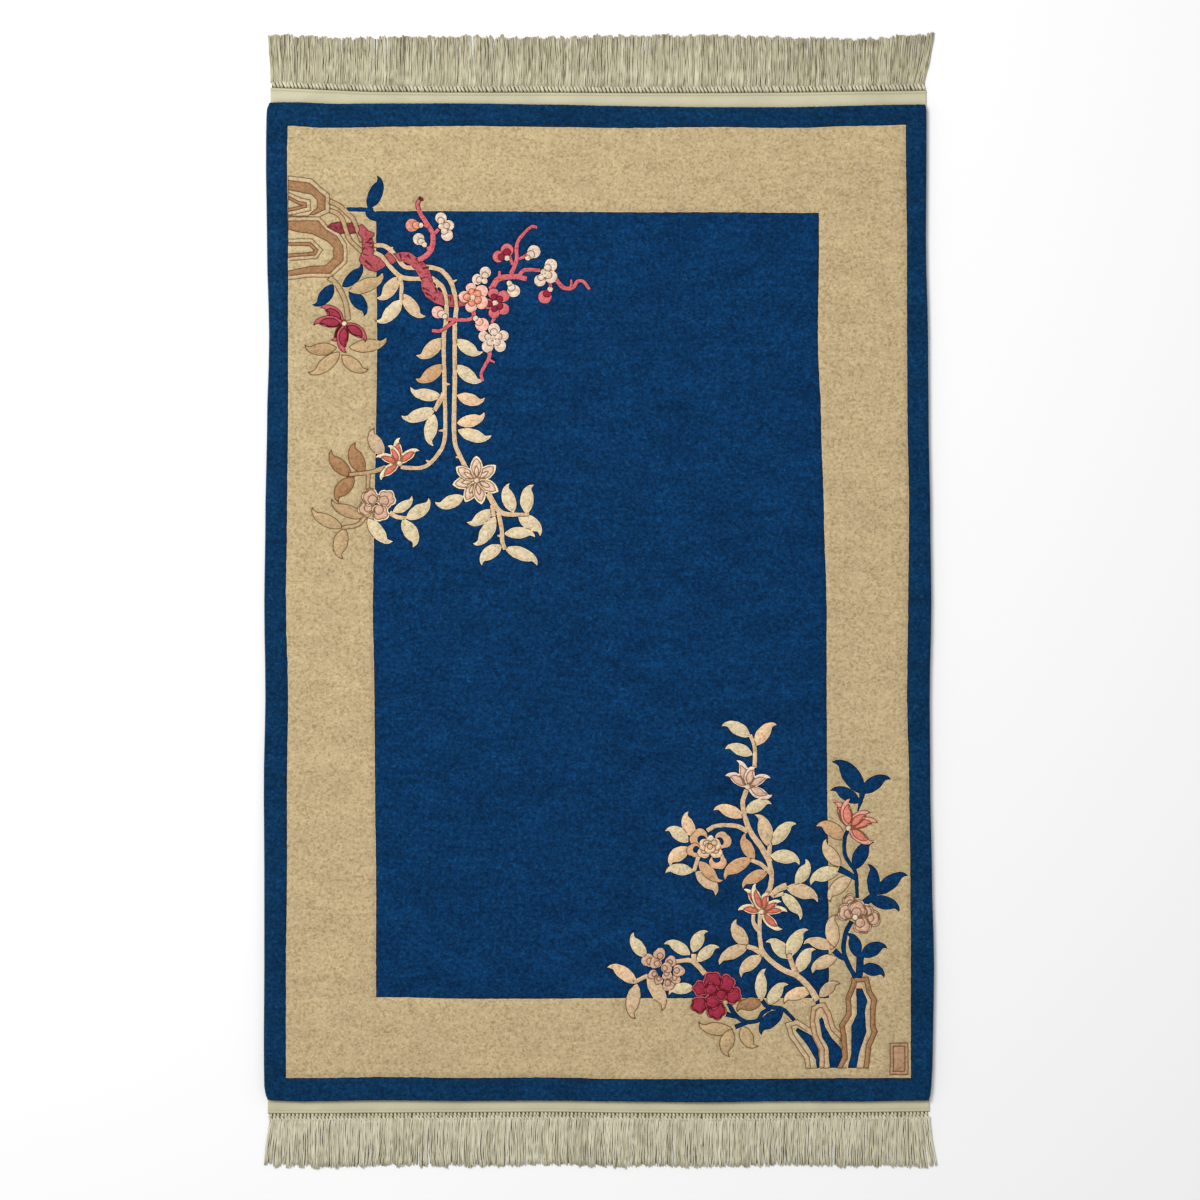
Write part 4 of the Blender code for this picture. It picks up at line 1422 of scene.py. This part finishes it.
class Fringe:
    """The fringe of one end while it is knotted, in millimetres: its row of knots and its mesh so far."""

    def __init__(self, end, out, left, right, pitch):
        self.out, self.left, self.right = out, left, right
        self.knots = round((right - left) / pitch)
        self.step = (right - left) / self.knots
        self.band_rows = edges_of("end_band_" + end, 0, 1)
        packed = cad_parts["fringe_" + end].data.vertices
        self.tips = sorted((v.co.x * MM, v.co.y * MM) for v in packed if abs(v.co.y) > TIPS_PAST)
        self.chance = random.Random(CHANCE_SEED + out)
        self.vertices, self.faces, self.shades = [], [], []

    def band_edge(self, x):
        """Where the band's outer edge is at a place along it."""
        low, high = row_at(self.band_rows, x / MM)
        return (high if self.out > 0 else low) * MM

    def lay_yarn(self, centres, radii, sides, lightness):
        """A closed yarn along its centres, with a radius and a lightness at each."""
        first = len(self.vertices)
        for i, here in enumerate(centres):
            way = (centres[min(i + 1, len(centres) - 1)] - centres[max(i - 1, 0)]).normalized()
            side = way.cross(UP).normalized()
            up = side.cross(way)
            for k in range(sides):
                turn = 2 * math.pi * (k + 0.5) / sides
                point = here + (side * math.cos(turn) + up * math.sin(turn)) * radii[i]
                self.vertices.append((point.x / MM, point.y / MM, max(0.0, point.z / MM)))
                self.shades.append(lightness[i])
        self.faces += tube_faces(first, len(centres), sides)

    def lay_shadow_bed(self):
        """The low bed under the knots, in the darkest painted shade, as the shadow between them."""
        section = ((BED_START, 0.0), (BED_START, BED_HEIGHT), (BED_REACH, BED_HEIGHT), (BED_REACH, 0.0))
        for k in range(self.knots + 1):
            x = self.left + k * self.step
            for past, height in section:
                self.vertices.append((x / MM, (self.band_edge(x) + self.out * past) / MM, height / MM))
                self.shades.append(0.0)
        self.faces += tube_faces(0, self.knots + 1, len(section))

    def tie_knots(self, start, reach, slant, size):
        """A line of knots: where they start and end past the band, how far they slant, and their size."""
        for k in range(self.knots):
            x = self.left + (k + 0.5) * self.step + self.chance.uniform(*KNOT_ASIDE)
            pulled = slant * self.chance.uniform(*KNOT_PULL)
            thick = size * self.chance.uniform(*KNOT_THICK)
            light = self.chance.uniform(*KNOT_LIGHT)
            centres, radii, lightness = [], [], []
            for share, height, radius in KNOT_RISE:
                past = start + (reach - start) * share
                aside = self.out * (share - 0.5) * pulled
                centres.append(Vector((x - aside, self.band_edge(x) + self.out * past, height * size)))
                radii.append(radius * thick)
                lightness.append(light * (KNOT_END_SHADE if share in (0.0, 1.0) else 1.0))
            self.lay_yarn(centres, radii, KNOT_SIDES, lightness)

    def lay_clumps(self, flare_left, flare_right, paler):
        """The loose yarns below the knots, which lie in clumps and flare out at the fringe's corners."""
        clump_ends, clumps = [], []
        at = self.left
        while at < self.right:
            at += self.chance.uniform(*CLUMP_WIDTH)
            clump_ends.append(at)
            clumps.append([self.chance.uniform(*limits) for limits in CLUMP_UNEVEN])
        for k in range(self.knots):
            for lying, count in YARN_LAYERS:
                for j in range(count):
                    x = self.left + self.step * (k + (j + 0.5) / count) + self.chance.uniform(*YARN_ASIDE)
                    number = min(bisect.bisect(clump_ends, x), len(clumps) - 1)
                    longer, leaning, lighter = clumps[number]
                    at_left = max(0.0, 1 - (x - self.left) / CORNER_REACH) ** 1.6
                    at_right = max(0.0, 1 - (self.right - x) / CORNER_REACH) ** 1.6
                    flared = flare_right * at_right - flare_left * at_left
                    middle = clump_ends[number] - CLUMP_MIDDLE
                    self.loose_yarn(x, lying, middle, longer, leaning, flared, YARN_LIGHT + paler + lighter)

    def loose_yarn(self, x, lying, clump_middle, longer, leaning, flared, light):
        """One yarn from under the knots to its cut end."""
        radius = YARN_RADIUS * self.chance.uniform(*YARN_THICK)
        heap = lying * self.chance.uniform(*YARN_HEAP)
        own_lean = self.chance.uniform(*YARN_LEAN)
        light += self.chance.uniform(*YARN_LIGHTER)
        root = self.band_edge(x) + self.out * YARN_ROOT
        uneven = longer + self.chance.uniform(*UNEVEN_CUT) - LOW_LAYER_SHORTER * (1 - lying)
        tip = row_at(self.tips, x)[0] + self.out * uneven
        centres, radii, lightness = [], [], []
        for i in range(YARN_RINGS):
            t = i / (YARN_RINGS - 1)
            y = root + (tip - root) * t
            sway = SWAY * noise.noise(Vector((x * 0.02, t * 2.5, 11.0 * self.out)))
            own_sway = OWN_SWAY * noise.noise(Vector((x * 1.7, t * 3.4, 4.0)))
            drawn = (clump_middle - x) * DRAWN_TO_MIDDLE * t
            side = sway * t + own_sway + drawn + leaning * t + own_lean * t**1.5 + flared * t
            slanted = -self.out * LEAVES_KNOT_ASIDE * (1 - t) ** 4
            rough = 0.5 * lying * (1 + noise.noise(Vector((x * 0.4, y * 0.05, 2.0))))
            lift = heap * (1 - SINKS_TO_TIP * t) + rough
            centres.append(Vector((x + side + slanted, y, radius + lift)))
            radii.append(radius * (1 - YARN_THINNER * t))
            spotted = SPOTS * noise.noise(Vector((x * 0.16, y * 0.07, 6.0)))
            shown = min(1.0, max(0.0, light + spotted - TIP_DARKER * t))
            # The low layer takes painted shade
            lightness.append(shown if lying else LOW_LAYER_SHADE)
        self.lay_yarn(centres, radii, YARN_SIDES, lightness)


def knotted_fringe(end, out, left, right, pitch, flares, paler, knot_lines):
    fringe = Fringe(end, out, left, right, pitch)
    fringe.lay_shadow_bed()
    for line in knot_lines:
        fringe.tie_knots(*line)
    fringe.lay_clumps(*flares, paler)
    return cloth_piece(
        "knotted_fringe_" + end, "fringe_" + end, fringe_cotton, fringe.vertices, fringe.faces,
        "shade", fringe.shades,
    )


fringes = [
    knotted_fringe(
        "far", 1, left=-601.5, right=595.5, pitch=6.64, flares=(8.0, 20.5), paler=0.0,
        knot_lines=((0.3, 13.5, 6.5, 1.0),),
    ),
    knotted_fringe(
        "near", -1, left=-606.5, right=601.5, pitch=6.90, flares=(10.0, 16.5), paler=0.22,
        knot_lines=((0.3, 5.5, 2.5, 0.95), (4.5, 14.0, 6.0, 1.0)),
    ),
]

# The floor, the light and the camera
# A plain pale floor under soft light from all round, and a camera straight above the rug.

FLOOR_HALF = 6.0
CAMERA_HEIGHT = 6.115
LENS = 100.0

floor_mesh = bpy.data.meshes.new("floor")
floor_mesh.from_pydata(
    [(-FLOOR_HALF, -FLOOR_HALF, 0), (FLOOR_HALF, -FLOOR_HALF, 0), (FLOOR_HALF, FLOOR_HALF, 0),
     (-FLOOR_HALF, FLOOR_HALF, 0)], [], [(0, 1, 2, 3)],
)
floor_paint, floor_shader, _ = new_material("floor_paint")
floor_shader.inputs["Base Color"].default_value = (0.95, 0.95, 0.95, 1.0)
floor_shader.inputs["Roughness"].default_value = 0.9
floor_mesh.materials.append(floor_paint)
floor = bpy.data.objects.new("floor", floor_mesh)
bpy.context.scene.collection.objects.link(floor)

room = bpy.data.worlds.new("studio")
room.use_nodes = True
room.node_tree.nodes["Background"].inputs["Color"].default_value = (1.0, 1.0, 1.0, 1.0)
room.node_tree.nodes["Background"].inputs["Strength"].default_value = 0.55
bpy.context.scene.world = room


def softbox(name, place, size, watts):
    lamp = bpy.data.lights.new(name, "AREA")
    lamp.shape = "DISK"
    lamp.size = size
    lamp.energy = watts
    made = bpy.data.objects.new(name, lamp)
    made.location = place
    made.rotation_euler = Vector(place).to_track_quat("Z", "Y").to_euler()
    bpy.context.scene.collection.objects.link(made)


softbox("key_softbox", (-2.2, 1.9, 5.0), 2.2, 210)

camera = bpy.data.objects.new("camera", bpy.data.cameras.new("camera"))
camera.data.lens = LENS
camera.data.sensor_width = 36.0
camera.location = (0.0, 0.0, CAMERA_HEIGHT)
bpy.context.scene.collection.objects.link(camera)
bpy.context.scene.camera = camera
bpy.context.scene.view_settings.view_transform = "Standard"
